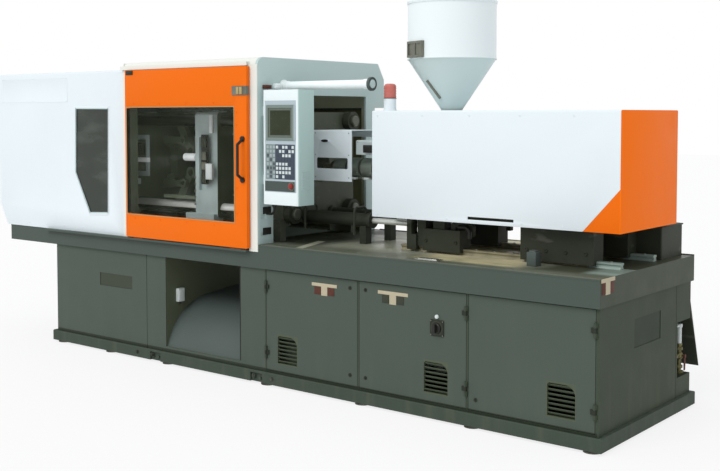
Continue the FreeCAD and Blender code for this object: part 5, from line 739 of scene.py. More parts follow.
    def pipe(self, name: str, start: Point, way: Axis, radius: float,
             steps: Sequence[tuple | float]) -> Piece:
        """Adds a bent pipe: a ring that is extruded along the runs and spun round the bends.

        Args:
            name: the piece's name.
            start: middle of its first end in millimetres.
            way: its first direction.
            radius: its own radius.
            steps: a length for a run, or (new direction, bend radius) for a quarter bend.
        Returns:
            The pipe, closed at both ends.
        """
        self.clear()
        spot, heading = at(*start), way.vector
        bpy.ops.mesh.primitive_circle_add(vertices=self.pipe_sides, radius=radius / 1000, location=spot,
                                          rotation=turned_to(heading))
        piece = self.settle(name)
        self.edit(piece, "EDGE")
        for step in steps:
            if isinstance(step, tuple):
                turn, bend = step[0].vector, step[1] / 1000
                centre = spot + turn * bend
                bpy.ops.mesh.spin(steps=self.bend_steps, angle=-math.pi / 2, center=centre,
                                  axis=heading.cross(turn))
                spot, heading = centre + heading * bend, turn
            else:
                self.pull(heading * step / 1000)
                spot = spot + heading * step / 1000
        bpy.ops.mesh.select_all(action="SELECT")
        bpy.ops.mesh.remove_doubles(threshold=self.weld)
        bpy.ops.mesh.fill_holes(sides=self.pipe_sides)
        self.done(outward=True)
        return piece

    def twin(self, piece: Piece) -> Piece:
        """A copy of a piece with its own mesh."""
        made = piece.copy()
        made.data = piece.data.copy()
        bpy.context.collection.objects.link(made)
        return made

    def repeat(self, piece: Piece, moves: Iterable[Point]) -> None:
        """Copies a finished piece and joins the copies to it.

        Args:
            piece: the piece that was modelled once.
            moves: where each copy goes from it, in millimetres.
        """
        twins = []
        for move in moves:
            twins.append(self.twin(piece))
            twins[-1].data.transform(Matrix.Translation(Vector(move) / 1000))
        self.join(piece, *twins)

    def join(self, *pieces: Piece) -> Piece:
        """Makes several pieces one, named as the first."""
        self.take(*pieces)
        bpy.ops.object.join()
        return pieces[0]

    def eased_copy(self, node: str, width: float) -> Piece:
        """A copy of a CAD node with its triangles merged and its edges rounded.

        Args:
            node: the node's name.
            width: the rounding in millimetres.
        Returns:
            The copy, in the row frame.
        """
        twin = self.twin(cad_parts[node])
        twin.name = twin.data.name = f"{node}_eased"
        twin.parent = None
        twin.matrix_world = Matrix.Identity(4)
        self.edit(twin, "VERT")
        bpy.ops.mesh.remove_doubles(threshold=self.weld)
        bpy.ops.mesh.dissolve_limited(angle_limit=math.radians(self.flat))
        self.done()
        self.ease(twin, width)
        return twin


@dataclass
class Assembly:
    """What each sub-assembly shares.

    Attributes:
        bench: where its pieces are modelled.
        body: the CAD body that they ride on.
        head_height, head_edge, socket_rim, socket_depth: a screw's sizes as shares of its radius.
        head_sides: number of flats round a screw's head.
    """

    bench: Bench
    body: str = "machine_base"
    head_height: float = 0.7
    head_edge: float = 0.12
    head_sides: int = 16
    socket_rim: float = 0.45
    socket_depth: float = 0.4

    def paint(self, coats: dict[Coat, str]) -> None:
        """Gives the CAD nodes named after each finish that finish."""
        for coat, nodes in coats.items():
            for node in nodes.split():
                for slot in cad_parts[node].material_slots:
                    slot.material = coat.material

    def add(self, piece: Piece, coat: Coat, edge: float = 0, body: str | None = None,
            moves: Sequence[Point] = (), stands_for: str | None = None) -> None:
        """Finishes a piece and sets it on its body.

        Args:
            piece: the modelled piece.
            coat: its finish.
            edge: rounding of its edges in millimetres.
            body: the CAD body that it rides on, where it isn't the assembly's own.
            moves: where each of its copies goes from it, in millimetres.
            stands_for: the CAD node that it replaces.
        """
        if edge:
            self.bench.ease(piece, edge)
        if moves:
            self.bench.repeat(piece, moves)
        piece.data.materials.clear()
        piece.data.materials.append(coat.material)
        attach(piece, body or self.body)
        if stands_for:
            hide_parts(stands_for)
        log.info("%s: %d faces, %s", piece.name, len(piece.data.polygons), coat.name.lower())

    def eased(self, node: str, width: float, coat: Coat, body: str | None = None) -> None:
        """Puts a copy with rounded edges, its width in millimetres, in the place of a CAD node."""
        self.add(self.bench.eased_copy(node, width), coat, body=body, stands_for=node)

    def slab(self, name: str, low: Point, high: Point, dish: tuple[float, float], coat: Coat, edge: float,
             body: str | None = None, moves: Sequence[Point] = (), way: Axis = Axis.FRONT) -> None:
        """Adds a box with one face sunk in or raised.

        Args:
            name: the piece's name.
            low, high: its lowest and highest corners in millimetres.
            dish: width of the shaped face's rim and depth of the rest, as in Bench.sink().
            coat, edge, body, moves: as in add().
            way: where the shaped face looks.
        """
        piece = self.bench.block(name, low, high)
        self.bench.sink(piece, way, *dish)
        self.add(piece, coat, edge, body, moves)

    def disc(self, name: str, base: Point, way: Axis, size: tuple[float, float, int],
             dish: tuple[float, float], coat: Coat, edge: float, body: str | None = None,
             moves: Sequence[Point] = ()) -> None:
        """Adds a round bar with its far end sunk in or raised.

        Args:
            name: the piece's name.
            base: middle of its near end in millimetres.
            way: direction from the near end to the far one.
            size: its radius, height and number of flats.
            dish: width of the far end's rim and depth of the rest, as in Bench.sink().
            coat, edge, body, moves: as in add().
        """
        piece = self.bench.drum(name, base, way, *size)
        self.bench.sink(piece, way, *dish)
        self.add(piece, coat, edge, body, moves)

    def screws(self, name: str, places: Sequence[Point], radius: float, coat: Coat = Coat.ZINC,
               body: str | None = None, way: Axis = Axis.FRONT) -> None:
        """Adds socket-head screws, modelled once and copied.

        Args:
            name: the piece's name.
            places: where each stands, in millimetres.
            radius: the heads' radius in millimetres.
            coat, body: as in add().
            way: where the heads look.
        """
        first = places[0]
        head = self.bench.drum(name, first, way, radius, radius * self.head_height, self.head_sides)
        self.bench.sink(head, way, radius * self.socket_rim, radius * self.socket_depth)
        self.bench.ease(head, radius * self.head_edge, 1)
        moves = [Vector(place) - Vector(first) for place in places[1:]]
        self.add(head, coat, body=body, moves=moves)


# ---- base --------------------------------------------------------------------------------------
def tee(left: float, right: float, top: float, stem: float, half: float, foot: float,
        bar: float = 20) -> list[tuple[float, float]]:
    """Corners of an upright T: its bar's ends, top and height, its stem's middle, half width and foot."""
    low, west, east = top - bar, stem - half, stem + half
    return [(left, top), (right, top), (right, low), (east, low), (east, foot), (west, foot), (west, low),
            (left, low)]


@dataclass
class BaseCabinets(Assembly):
    """Plinth, both bases, their doors and what stands on them."""

    front: float = -588
    beam: float = -610
    plinth: float = -613
    bed_top: float = 886
    end: float = 10
    seams: tuple[float, float] = (-2290, -3415)
    lock_radius: float = 11
    locks: tuple[tuple[str, float, tuple[float, ...]], ...] = (
        ("door_1", -1601, (683, 165)), ("door_2", -1485, (683, 165)), ("door_3", -727, (159,)))
    switch: Point = (-979, -593, 521)

    def build(self) -> None:
        """Dresses the nodes and adds the small parts."""
        self.paint({Coat.PLINTH: "base_plinth", Coat.PAD: "levelling_pads",
                    Coat.END_GREY: "injection_base",
                    Coat.GREY: "clamp_base cabinet_door_1 cabinet_door_2 cabinet_door_3",
                    Coat.BED: "bed_frame", Coat.BLACK: "main_switch_knob", Coat.PLATE: "electrical_panel",
                    Coat.MOTOR: "pump_motor", Coat.CHUTE: "discharge_chute"})
        for door, x, heights in self.locks:
            self.door_locks(door, x, heights)
        self.door_plate("door_1", -1898, -1701, 690, Coat.RED_LABEL)
        self.door_plate("door_2", -1393, -1179, 692, Coat.DARK_LABEL)
        self.corner_plates()
        self.main_switch()
        self.bay_fittings()
        self.plinth_bolts()
        self.bed_fittings()

    def door_locks(self, door: str, x: float, heights: Sequence[float]) -> None:
        """Adds a door's quarter-turn locks, each with a raised key bar.

        Args:
            door: the door's body.
            x, heights: where the locks are.
        """
        y, z = self.front, heights[0]
        lock = self.bench.drum(f"{door}_locks", (x, y, z), Axis.FRONT, self.lock_radius, 4, 24)
        self.bench.sink(lock, Axis.FRONT, 3, 2)
        key = self.bench.block(f"{door}_lock_bar", (x - 2, y - 6, z - 7), (x + 2, y - 1, z + 7))
        for part in (lock, key):
            self.bench.ease(part, 0.8)
        self.add(self.bench.join(lock, key), Coat.BLACK_IRON, body=door,
                 moves=[(0, 0, other - z) for other in heights[1:]])

    def door_plate(self, door: str, left: float, right: float, top: float, field: Coat) -> None:
        """Adds a plain plate: a pale T with a dark field on either side of its stem.

        Args:
            door: the door's body.
            left, right, top: the plate's edges.
            field: finish of the two fields.
        """
        y, stem = self.front, (left + right) / 2
        corners = [(x, y, z) for x, z in tee(left, right, top, stem, 24, top - 74)]
        self.add(self.bench.sheet(f"{door}_plate", corners, (0, -2.5, 0)), Coat.PALE_LABEL, 0.6, door)
        self.slab(f"{door}_field", (stem - 78, y - 2, top - 70), (stem - 27, y, top - 24), (3, -0.6),
                  field, 0.4, door, [(105, 0, 0)])

    def corner_plates(self) -> None:
        """The bed's plain corner plate, brown with a pale strip and stem, on its end face."""
        x = self.end
        self.slab("corner_plate", (x, -592, 806), (x + 1.5, -452, 880), (3, -0.5), Coat.RED_LABEL, 0.3,
                  way=Axis.X)
        corners = [(x, y, z) for y, z in tee(-600, -446, 886, -526, 26, 802)]
        self.add(self.bench.sheet("corner_plate_strip", corners, (2.5, 0, 0)), Coat.PALE_LABEL, 0.5)

    def main_switch(self) -> None:
        """Pilot lamp and screws of the main switch's plate, and the dark dial under its knob."""
        x, y, z = self.switch
        self.disc("switch_pilot_lamp", (x, self.front, z + 64), Axis.FRONT, (12, 9, 24), (3, -4),
                  Coat.SIGHT, 1.6, "door_2")
        self.disc("switch_dial", (x, y + 1, z), Axis.FRONT, (41, 2, 48), (9, 0.6), Coat.DARK_LABEL, 0.5,
                  "door_2")
        self.screws("switch_plate_screws",
                    [(x + side * 39, y, z + up * 39) for side in (-1, 1) for up in (-1, 1)], 4, Coat.DULL,
                    "door_2")

    def bay_fittings(self) -> None:
        """Sensor box on the bay's left wall, with its gland and screws, and a dark strip that paints the
        shade line at its right edge.
        """
        self.slab("bay_sensor", (-3220, -496, 417), (-3192, -440, 508), (6, -3), Coat.SIGHT, 2,
                  way=Axis.X)
        # A dark strip that paints the shade line along the bay's right edge.
        self.slab("bay_edge_strip", (-2515, -586, 124), (-2504, -578, 728), (3, 1), Coat.RUBBER, 0.8)
        self.disc("bay_sensor_gland", (-3206, -468, 417), Axis.DOWN, (8, 14, 16), (2, -5), Coat.BLACK,
                  0.8)
        self.screws("bay_sensor_screws", [(-3193.5, y, z) for y in (-488, -448) for z in (426, 499)], 3.5,
                    Coat.DULL, way=Axis.X)

    def plinth_bolts(self) -> None:
        """Hexagon bolts that join the plinth's lengths, and the washers below them."""
        xs = [seam + side * 78 for seam in self.seams for side in (-1, 1)]
        place = (xs[0], self.plinth, 52)
        bolt = self.bench.drum("plinth_bolts", place, Axis.FRONT, 10, 8, 6)
        self.bench.sink(bolt, Axis.FRONT, 2, -1)
        self.bench.ease(bolt, 0.8)
        washer = self.bench.drum("plinth_washer", place, Axis.FRONT, 15, 2.5, 28)
        self.bench.ease(washer, 0.6)
        self.add(self.bench.join(bolt, washer), Coat.BLACK_IRON,
                 moves=[(x - xs[0], 0, 0) for x in xs[1:]])

    def bed_fittings(self) -> None:
        """Carriage stop, bright foot plate and drip rail on the bed."""
        z = self.bed_top
        self.slab("carriage_stop", (-527, -400, z), (-470, -340, z + 76), (10, -9), Coat.CHUTE, 3,
                  way=Axis.Z)
        self.slab("bed_foot_plate", (-1150, -566, z), (-1000, -500, z + 7), (12, -3), Coat.GROUND, 1.2,
                  way=Axis.Z)
        self.slab("bed_drip_rail", (-2280, self.beam - 1.5, z - 10), (8, self.beam, z - 2), (2, 0.6),
                  Coat.BED, 0.4)


# ---- clamp enclosure ---------------------------------------------------------------------------
@dataclass
class ClampGuards(Assembly):
    """Gates, posts and roof over the mould, and the hood over the toggle."""

    gate_body: str = "front_gate_body"
    gate_face: float = -648
    gate: tuple[float, float, float, float] = (-3555, -2385, 860, 2008)
    window: tuple[float, float, float, float] = (-3539, -2497, 1020, 1752)
    cover_face: float = -614
    cover_end: float = -5125
    cover_edge: float = -3622
    roof_end: float = -3621
    cover_window: tuple[tuple[float, float], ...] = ((-4147, 1746), (-3780, 1744), (-3793, 1011),
                                                     (-3998, 1001), (-4157, 1285))

    def build(self) -> None:
        """Dresses the nodes and adds the trim."""
        self.paint({Coat.CLEAR: "front_gate_window", Coat.BLACK: "front_gate_handle",
                    Coat.REAR_ORANGE: "rear_gate", Coat.FRAME_WHITE: "mould_guard_frame",
                    Coat.DARK_PANE: "clamp_cover_window"})
        self.eased("front_gate", 3, Coat.ORANGE, self.gate_body)
        self.eased("clamp_cover", 2.5, Coat.WHITE)
        self.window_seal()
        self.gate_fittings()
        self.cover_trim()
        self.cover_end_louvres()
        self.slab("rear_gate_sweep", (-3540, 604, 1735), (-2350, 612, 1800), (6, 1.5), Coat.GREY, 1.5)
        self.roof_end_plate()

    def window_seal(self) -> None:
        """Seal round the gate's opening and the screws of its clamping frame."""
        left, right, low, high = self.window
        y = self.gate_face
        corners = [(left - 4, y, low - 5), (right + 5, y, low - 5), (right + 5, y, high + 5),
                   (left - 4, y, high + 5)]
        self.add(self.bench.sheet("gate_window_seal", corners, (0, -2.5, 0), 5), Coat.SEAL, 0.8,
                 self.gate_body)
        heads = [(x, y, z) for x in (-3460, -3200, -2940, -2680) for z in (low - 26, high + 26)]
        heads += [(right + 24, y, z) for z in (1080, 1240, 1640, 1720)]
        self.screws("gate_screws", heads, 4.5, Coat.ORANGE, self.gate_body)

    def gate_fittings(self) -> None:
        """Interlock plate with two pale keys, window gasket, corner bracket, and a dark strip that paints
        the shadow line at the foot.
        """
        y, body = self.gate_face, self.gate_body
        left, right, low, high = self.gate
        edge, _, sill, lintel = self.window
        self.slab("gate_interlock_plate", (-2511, y - 5, 1826), (right + 2, y + 22, 1884), (5, 1.5),
                  Coat.DULL, 1, body)
        self.slab("gate_interlock_keys", (-2470, y - 7, 1832), (-2448, y - 3, 1878), (3, -1.5), Coat.SEAL,
                  0.8, body, [(28, 0, 0)])
        self.slab("gate_window_gasket", (edge - 0.5, y + 1, sill + 1), (edge + 3, y + 27, lintel - 1),
                  (4, 1), Coat.RUBBER, 0.6, body, way=Axis.X)
        self.slab("gate_top_bracket", (left + 14, y - 4, high - 32), (left + 86, y, high - 3), (9, -3),
                  Coat.BLACK_IRON, 1, body)
        # A dark strip behind the gate's foot that paints its shadow line.
        self.slab("gate_foot_felt", (left + 10, y + 3, low - 5), (right - 10, y + 9, low + 4), (2, 1),
                  Coat.RUBBER, 1, body)

    def cover_trim(self) -> None:
        """Pale frame and gasket of the hood's window, its lifting panel, screws, and a dark strip that
        paints the shadow line under its lower edge.
        """
        y = self.cover_face
        corners = [Vector((x, y, z)) for x, z in self.cover_window]
        middle = sum(corners, Vector()) / len(corners)
        for name, reach, rim, coat in (("cover_window_frame", 22, 13, Coat.WHITE),
                                       ("cover_window_gasket", 9, 9, Coat.ARCH)):
            outer = [corner + (corner - middle).normalized() * reach for corner in corners]
            self.add(self.bench.sheet(name, outer, (0, -2.5, 0), rim), coat, 0.8)
        self.slab("cover_top_panel", (self.cover_end + 50, y - 1.2, 1795), (-4245, y, 1980), (7, 0.5),
                  Coat.WHITE, 0.4)
        heads = [(x, y, z) for x in (-5062, -4660, -4258) for z in (1803, 1972)]
        heads += [(x, y, 884) for x in range(-4950, -3660, 215)]
        self.screws("cover_screws", heads, 4.5, Coat.WHITE)
        # A dark strip under the hood's lower edge that paints its shadow line.
        self.slab("cover_lower_lip", (-4985, y + 4, 845), (self.cover_edge - 5, y + 10, 853), (2, 1),
                  Coat.RUBBER, 0.8)

    def cover_end_louvres(self) -> None:
        """Rows of pressed louvres in the hood's end, which let the oil's warmth out."""
        x = self.cover_end
        moves = [(0, shift, -34 * row) for shift in (0, 460) for row in range(8) if shift or row]
        self.slab("cover_end_louvres", (x - 0.5, -420, 1690), (x + 6, -40, 1712), (3, -0.6), Coat.WHITE,
                  0.8, moves=moves, way=Axis.BACK_X)

    def roof_end_plate(self) -> None:
        """Plate that closes the roof's end above the hood, with its screws."""
        x = self.roof_end
        outline = [(-604, 2017), (-604, 2060), (620, 2060), (688, 1955), (617, 1955), (617, 2017)]
        self.add(self.bench.sheet("roof_end_plate", [(x, y, z) for y, z in outline], (3, 0, 0)),
                 Coat.FRAME_WHITE, 0.8)
        self.screws("roof_end_screws", [(x, y, 2038) for y in range(-540, 600, 216)], 4.5,
                    Coat.FRAME_WHITE, way=Axis.BACK_X)


@dataclass
class ClampWorks(Assembly):
    """Platens, tie bars, toggle and cylinder, seen through the gate."""

    axis_z: float = 1360
    side: float = -389
    platen_body: str = "moving_platen_body"

    def build(self) -> None:
        """Dresses the nodes and adds pipes and fittings."""
        links = " ".join(f"{pair}_links_{half}" for pair in ("rear", "front", "cross")
                         for half in ("upper", "lower"))
        self.paint({Coat.DARK_PLATEN: "fixed_platen", Coat.PLATEN: "moving_platen",
                    Coat.CHROME: "tie_bars", Coat.BLACK_IRON: "tie_bar_nuts",
                    Coat.OILY_MOTOR: "clamp_cylinder", Coat.GROUND: "ejector_plate",
                    Coat.LINK: "end_platen crosshead " + links})
        self.platen_side()
        self.end_platen_side()
        self.add(self.bench.pipe("clamp_pipe_4087", (-4087, 0, 1503), Axis.Z, 14,
                                 (20, (Axis.FRONT, 60), 150, (Axis.DOWN, 60), 600)), Coat.DULL,
                 moves=[(-400, 0, 0)])
        for name, rise in (("pin_keeper_upper", 330), ("pin_keeper_lower", -330)):
            self.disc(name, (-3641.2, -138, self.axis_z + rise), Axis.FRONT, (34, 5, 28), (12, -2),
                      Coat.DULL, 1)

    def platen_side(self) -> None:
        """Connector channel, junction boxes, guide bush and screws on the moving platen's side."""
        y, body = self.side, self.platen_body
        self.slab("platen_channel", (-3068, y - 4, 1229), (-2998, y, 1568), (5, 3), Coat.BLACK, 0.8, body)
        for k, (low, high, coat) in enumerate(((1480, 1545, Coat.DARK_LABEL), (1395, 1450, Coat.DULL),
                                               (1330, 1380, Coat.DULL), (1240, 1300, Coat.DARK_LABEL))):
            self.slab(f"platen_plug_{k}", (-3058, y - 16, low), (-3012, y - 2, high), (6, 4), coat, 1.5,
                      body)
        for name, low, high in (("platen_box_upper", (-2974, y - 18, 1580), (-2944, y, 1704)),
                                ("platen_box_lower", (-3004, y - 26, 1265), (-2944, y, 1372))):
            self.slab(name, low, high, (6, -3), Coat.SIGHT, 2, body)
        self.disc("platen_bush", (-3168, -338, 1409), Axis.BACK_X, (27, 116, 36), (9, 5), Coat.LAMP, 2,
                  body)
        self.slab("platen_guide_strip", (-3500, -352, 1116), (-3168, -334, 1140), (4, 2), Coat.LINK, 1,
                  body)
        self.screws("platen_screws", [(-3130, y, z) for z in range(1090, 1320, 46)], 8, Coat.DULL, body)

    def end_platen_side(self) -> None:
        """Frame, motor box and key bar of the mould height drive on the end platen's side."""
        y = self.side
        corners = [(-3880, y, 1266), (-3600, y, 1266), (-3600, y, 1560), (-3880, y, 1560)]
        self.add(self.bench.sheet("drive_frame", corners, (0, -12, 0), 34), Coat.PLATEN, 2)
        self.slab("drive_motor_box", (-3765, y - 46, 1412), (-3645, y, 1502), (10, -6), Coat.DARK_LABEL,
                  3)
        self.slab("drive_key_bar", (-3890, y - 24, 1366), (-3590, y - 8, 1398), (5, -2), Coat.LAMP, 1.5)
        self.slab("drive_foot", (-3890, y - 40, 1206), (-3700, y, 1246), (6, 3), Coat.PLATEN, 2.5)


# ---- arch, operator's box, lamp ----------------------------------------------------------------
@dataclass
class OperatorStation(Assembly):
    """Arch over the nozzle with the operator's box and the work lamp."""

    arch_face: float = -2325
    box_right: float = -1989
    lamp_axis: tuple[float, float] = (-368, 1888)

    def build(self) -> None:
        """Dresses the nodes and adds the fittings."""
        self.paint({Coat.PANEL: "control_face", Coat.RED: "emergency_stop", Coat.LAMP: "work_lamp"})
        self.eased("nozzle_arch", 2.5, Coat.ARCH)
        self.eased("control_box", 2.5, Coat.BOX_WHITE)
        self.arch_fittings()
        self.box_fittings()
        self.lamp_fittings()

    def arch_fittings(self) -> None:
        """Two dark cable entries in the arch's front leg and the lamp's switch and socket above them."""
        x = self.arch_face
        self.slab("arch_cable_entries", (x, -568, 1077), (x + 4, -494, 1122), (6, 2), Coat.BLACK, 0.8,
                  moves=[(0, 0, -132)], way=Axis.X)
        self.slab("arch_lamp_switch", (x, -566, 1866), (x + 26, -508, 1890), (5, -4), Coat.RED_LABEL, 1.5,
                  way=Axis.X)
        self.slab("arch_lamp_socket", (x, -470, 1868), (x + 22, -420, 1902), (6, -5), Coat.LAMP, 2,
                  way=Axis.X)

    def box_fittings(self) -> None:
        """Side louvres, gland, conduit and the stop button's ring on the operator's box."""
        x = self.box_right
        self.slab("control_box_louvres", (x - 1, -575, 1240), (x + 3, -500, 1246), (1.5, -1), Coat.ARCH,
                  0.6, moves=[(0, 0, 16 * row) for row in range(1, 8)], way=Axis.X)
        self.disc("control_box_gland", (-2260, -530, 1146), Axis.DOWN, (15, 20, 20), (5, -8), Coat.BLACK,
                  1.2)
        self.add(self.bench.pipe("control_box_conduit", (-2260, -530, 1122), Axis.DOWN, 8,
                                 (14, (Axis.BACK_X, 30), 35)), Coat.BLACK)
        ring = self.bench.drum("stop_ring", (-2041, -613, 1266), Axis.FRONT, 26, 2, 36)
        self.bench.hollow(ring, Axis.FRONT, 7)
        self.add(ring, Coat.DULL, 0.4)

    def lamp_fittings(self) -> None:
        """Grey flange with a pale lens at the lamp's free end and the clamp at its foot."""
        x, (y, z) = self.arch_face, self.lamp_axis
        self.disc("lamp_end_flange", (-1621, y, z), Axis.X, (42, 18, 40), (5, 4), Coat.CHUTE, 1.5)
        self.disc("lamp_end_lens", (-1609, y, z), Axis.X, (26, 7, 32), (6, -1.5), Coat.ARCH, 1)
        self.slab("lamp_foot", (x, y - 30, z - 48), (x + 16, y + 30, z - 24), (6, -4), Coat.LAMP, 2,
                  way=Axis.X)


# ---- injection unit ----------------------------------------------------------------------------
@dataclass
class InjectionUnit(Assembly):
    """Hood, barrel, guards and carriage."""

    body: str = "injection_carriage"
    base_body: str = "machine_base"
    purge_body: str = "purge_guard_body"
    hood_half: float = 365
    hood_low: float = 1090
    hood_top: float = 1728
    beacon: tuple[float, float] = (-1563, -248)
    pull: Point = (-2150, -169, 1535)
    pull_stretch: float = 3.2
    band_pitch: float = 108
    stay_step: float = 98
    stay_step_end: float = -1388

    def build(self) -> None:
        """Dresses the nodes and adds the fittings."""
        self.paint({Coat.BLACK_IRON: "injection_housing carriage_feet screw_drive junction_box",
                    Coat.LENS: "beacon_lens", Coat.BARREL: "barrel", Coat.BAND: "heater_bands",
                    Coat.PLATE: "barrel_guard", Coat.RAIL: "carriage_rails",
                    Coat.OILY_MOTOR: "carriage_cylinders", Coat.CHROME: "carriage_rods",
                    Coat.GROUND: "screw"})
        self.eased("injection_cover", 2.5, Coat.WHITE)
        self.eased("injection_cover_end", 2.5, Coat.ORANGE)
        self.eased("purge_guard", 1, Coat.WHITE, self.purge_body)
        self.hood_trim()
        self.beacon_rings()
        self.purge_fittings()
        self.barrel_fittings()
        self.foot_fittings()
        self.carriage_pipes()
        self.junction_fittings()

    def hood_trim(self) -> None:
        """Screws along the hood and its rear louvres."""
        y = self.hood_half
        heads = [(x, -y, self.hood_top - 30) for x in range(-1570, -260, 325)]
        heads += [(x, -y, self.hood_low + 18) for x in (-1570, -1320, -1070, -580, -330)]
        self.screws("hood_screws", heads, 4.5, Coat.WHITE)
        self.slab("hood_rear_louvres", (-900, y - 0.5, 1580), (-560, y + 5, 1598), (2, -1), Coat.WHITE, 1,
                  moves=[(0, 0, -32 * row) for row in range(1, 8)], way=Axis.Y)

    def beacon_rings(self) -> None:
        """Ribs round the beacon's lens and the seal below it."""
        self.disc("beacon_ribs", (*self.beacon, 1812), Axis.Z, (38.6, 5, 36), (3, 0.6), Coat.LENS, 1.2,
                  moves=[(0, 0, 16 * row) for row in range(1, 4)])
        self.disc("beacon_seal", (*self.beacon, 1801), Axis.Z, (39, 4, 36), (2, 0.4), Coat.RUBBER, 0.8)

    def purge_fittings(self) -> None:
        """Oval pull and the screws along the purge guard's slot."""
        pull = self.bench.drum("purge_pull", self.pull, Axis.FRONT, 9, 5, 24)
        self.bench.pick(pull, lambda face: True)
        bpy.ops.transform.resize(value=(self.pull_stretch, 1, 1), center_override=at(*self.pull))
        self.bench.done()
        self.bench.sink(pull, Axis.FRONT, 3, 1.5)
        self.add(pull, Coat.BLACK, 1, self.purge_body)
        self.screws("purge_screws", [(x, -160, z) for x in (-2236, -1957) for z in (1300, 1445, 1585)], 4,
                    body=self.purge_body)

    def barrel_fittings(self) -> None:
        """Terminal box and screws of the barrel guard, terminal caps and screws of the heater bands."""
        self.slab("barrel_terminal_box", (-1849, -152, 1464), (-1780, -130, 1512), (6, -3), Coat.BLACK,
                  1.5)
        self.screws("barrel_guard_screws", [(x, -130, 1530) for x in (-1910, -1700, -1500)], 4)
        bands = [self.band_pitch * band for band in range(4)]
        self.slab("band_terminals", (-2128, -64, 1286), (-2088, -40, 1300), (3, -2), Coat.SIGHT, 1.2,
                  moves=[(shift, 0, 0) for shift in bands[1:]])
        self.screws("band_screws", [(-2150 + shift + lug, -58, 1330) for shift in bands
                                    for lug in (0, 70)], 5)

    def foot_fittings(self) -> None:
        """Screws of the rails and feet, and the stepped stay beside the front foot."""
        self.screws("rail_screws", [(x, side * 212, 920) for x in range(-1440, -80, 120)
                                    for side in (-1, 1)], 7, body=self.base_body, way=Axis.Z)
        self.screws("foot_bolts", [(x, -270, 960) for x in (-1280, -1070, -600, -480, -360, -240)], 10,
                    Coat.BLACK_IRON)
        stay = self.bench.block("foot_stay", (-1422, -268, 898), (-1353.5, -204, 990))
        least, (end,) = self.bench.facing, along(self.stay_step_end)
        self.bench.pick(stay, lambda face: face.normal.z > least)
        bpy.ops.mesh.subdivide(number_cuts=1)
        self.bench.pick(stay, lambda face: face.normal.z > least and face.calc_center_median().x < end)
        self.bench.pull(Vector((0, 0, self.stay_step / 1000)))
        self.bench.done()
        self.add(stay, Coat.BLACK_IRON, 2)

    def carriage_pipes(self) -> None:
        """The foot's oil pipe and the carriage cylinders' two pipes."""
        self.add(self.bench.pipe("foot_oil_pipe", (-1060, -252, 1052), Axis.X, 12,
                                 (40, (Axis.DOWN, 34), 30)), Coat.BLACK)
        self.add(self.bench.pipe("carriage_pipe_2250", (-2250, -130, 1076), Axis.Z, 8,
                                 (14, (Axis.FRONT, 30), 60, (Axis.DOWN, 30), 140)), Coat.OILY_MOTOR,
                 body=self.base_body, moves=[(410, 0, 0)])

    def junction_fittings(self) -> None:
        """Lid and glands of the dark box at the bed's far corner."""
        self.slab("junction_lid", (-247, 272, 1066), (-45, 575, 1074), (14, -2), Coat.BLACK_IRON, 1.5,
                  self.base_body, way=Axis.Z)
        self.disc("junction_glands", (-243, 340, 940), Axis.BACK_X, (14, 18, 18), (4, -6), Coat.BLACK, 1,
                  self.base_body, [(0, 60, 0), (0, 120, 0)])


@dataclass
class HopperTrim(Assembly):
    """Hopper, lid and sight box."""

    body: str = "injection_carriage"
    axis: tuple[float, float] = (-1280, 0)
    radius: float = 268

    def build(self) -> None:
        """Dresses the nodes and adds band, seam, the cone's lever and the throat's slide and bolts."""
        self.paint({Coat.HOPPER_WHITE: "hopper hopper_lid", Coat.DULL: "hopper_sight"})
        (x, y), side = self.axis, self.radius
        band = self.bench.drum("hopper_band", (x, y, 2034), Axis.Z, side + 3, 8, 72)
        self.bench.hollow(band, Axis.Z, 6)
        self.add(band, Coat.HOPPER_WHITE, 1)
        self.slab("hopper_seam", (x - 5, y + side - 2, 2048), (x + 5, y + side + 2.5, 2366), (2, -0.8),
                  Coat.HOPPER_WHITE, 0.8, way=Axis.Y)
        run = Vector((56, 60, -108))
        lever = self.bench.drum("hopper_cone_lever", (-1342, -176, 1908), run.normalized(), 8, run.length,
                                16)
        self.add(lever, Coat.DULL, 2)
        self.slab("hopper_slide_gate", (x - 190, y - 46, 1578), (x - 88, y + 46, 1584), (8, -1.5),
                  Coat.GROUND, 0.8, way=Axis.Z)
        self.screws("hopper_bolts", [(x + dx, y + dy, 1568) for dx in (-95, 95) for dy in (-95, 95)], 9,
                    way=Axis.Z)


@dataclass
class WaterCorner(Assembly):
    """Water pipe, meter, valve and guard at the far end."""

    def build(self) -> None:
        """Dresses the nodes and adds the pipe's nuts and the guard's screws."""
        self.paint({Coat.BRASS: "water_manifold", Coat.SIGHT: "flow_meter", Coat.RED_LABEL: "valve_lever",
                    Coat.BLACK_IRON: "water_guard"})
        self.disc("water_nuts", (-49, 548, 226), Axis.Z, (22, 18, 6), (5, -2), Coat.BRASS, 1,
                  moves=[(0, 0, 106)])
        self.screws("water_guard_screws", [(x, 592, 660) for x in (-280, -152, -24)], 6, Coat.BLACK_IRON,
                    way=Axis.Y)


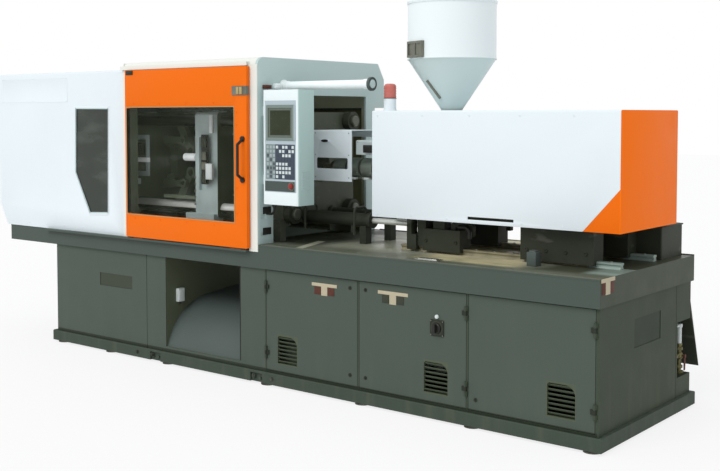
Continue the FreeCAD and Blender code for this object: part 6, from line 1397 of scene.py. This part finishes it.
# ---- studio ------------------------------------------------------------------------------------
@dataclass
class Studio:
    """Pale floor, soft light and the camera."""

    level: float = 0.78
    sky: tuple[float, ...] = (0.97, 0.985, 1, 1)
    key: float = 1.25
    key_place: Point = (-2, -6, 8)
    key_way: Point = (-0.1, -0.72, 0.68)
    key_spread: float = 35
    floor_size: float = 80
    floor_glow: float = 0.8
    floor_grey: tuple[float, ...] = (0.86, 0.86, 0.86, 1)
    white: tuple[float, ...] = (1, 1, 1, 1)
    camera_place: Point = (4.9517, -5.5495, 1.7)
    camera_turn: Point = (90 - 2.865, 0, 38.46)
    lens: float = 54.33
    sensor: float = 36
    shift_y: float = -0.0915
    far_end: float = 200

    def build(self) -> None:
        """Sets up the world, the floor, the lamp and the camera."""
        self.world()
        self.floor()
        self.lamp()
        self.camera()

    def seen(self, graph: Graph) -> Wire:
        """1 for rays from the camera, a mirror or glass, else 0."""
        camera, glossy, glass = graph.outputs("ShaderNodeLightPath",
                                              ("Is Camera Ray", "Is Glossy Ray", "Is Transmission Ray"))
        return camera.maths("MAXIMUM", camera, glossy.maths("MAXIMUM", glossy, glass))

    def blend(self, graph: Graph, share: Wire, first: Wire, second: Wire, end: str) -> None:
        """Ends a graph, at an output node of the type end, in the blend of two shaders."""
        both = graph.node("ShaderNodeMixShader", inputs={0: share, 1: first, 2: second})
        graph.node(end, inputs={"Surface": both})

    def world(self) -> None:
        """White behind the object, and an even light on it."""
        world = bpy.data.worlds.new("studio")
        world.use_nodes = True
        bpy.context.scene.world = world
        graph = Graph(world.node_tree)
        light = graph.node("ShaderNodeBackground",
                           inputs={"Color": self.sky, "Strength": self.level})
        white = graph.node("ShaderNodeBackground", inputs={"Color": self.white, "Strength": 1})
        self.blend(graph, self.seen(graph), light, white, "ShaderNodeOutputWorld")

    def floor(self) -> None:
        """Large pale floor that keeps a soft shadow."""
        bpy.ops.object.select_all(action="DESELECT")
        bpy.ops.mesh.primitive_plane_add(size=self.floor_size, location=(0, 0, 0))
        piece = bpy.context.object
        piece.name = "studio_floor"
        made = bpy.data.materials.new("studio_floor")
        made.use_nodes = True
        graph = Graph(made.node_tree)
        matte = graph.node("ShaderNodeBsdfDiffuse", inputs={"Color": self.floor_grey})
        glow = graph.node("ShaderNodeEmission", inputs={"Color": self.white, "Strength": 1})
        self.blend(graph, self.seen(graph) * self.floor_glow, matte, glow, "ShaderNodeOutputMaterial")
        piece.data.materials.append(made)

    def lamp(self) -> None:
        """One wide soft lamp from the operator's side and above."""
        bpy.ops.object.light_add(type="SUN", location=self.key_place)
        sun = bpy.context.object
        sun.name = "key_light"
        sun.data.energy = self.key
        sun.data.angle = math.radians(self.key_spread)
        sun.rotation_euler = turned_to(Vector(self.key_way))

    def camera(self) -> None:
        """The photograph's point of view."""
        bpy.ops.object.camera_add(location=self.camera_place,
                                  rotation=tuple(math.radians(angle) for angle in self.camera_turn))
        camera = bpy.context.object
        camera.name = "photo_camera"
        camera.data.lens = self.lens
        camera.data.sensor_width = self.sensor
        camera.data.shift_y = self.shift_y
        camera.data.clip_end = self.far_end
        bpy.context.scene.camera = camera


def main() -> None:
    """Builds the studio and each sub-assembly in order."""
    logging.basicConfig(level=logging.INFO, format="%(name)s %(message)s")
    bpy.context.scene.view_settings.view_transform = "Standard"
    Studio().build()
    bench = Bench()
    for group in (BaseCabinets, ClampGuards, ClampWorks, OperatorStation, InjectionUnit, HopperTrim,
                  WaterCorner):
        log.info("building %s", group.__name__)
        group(bench).build()


if __name__ == "__main__":
    main()
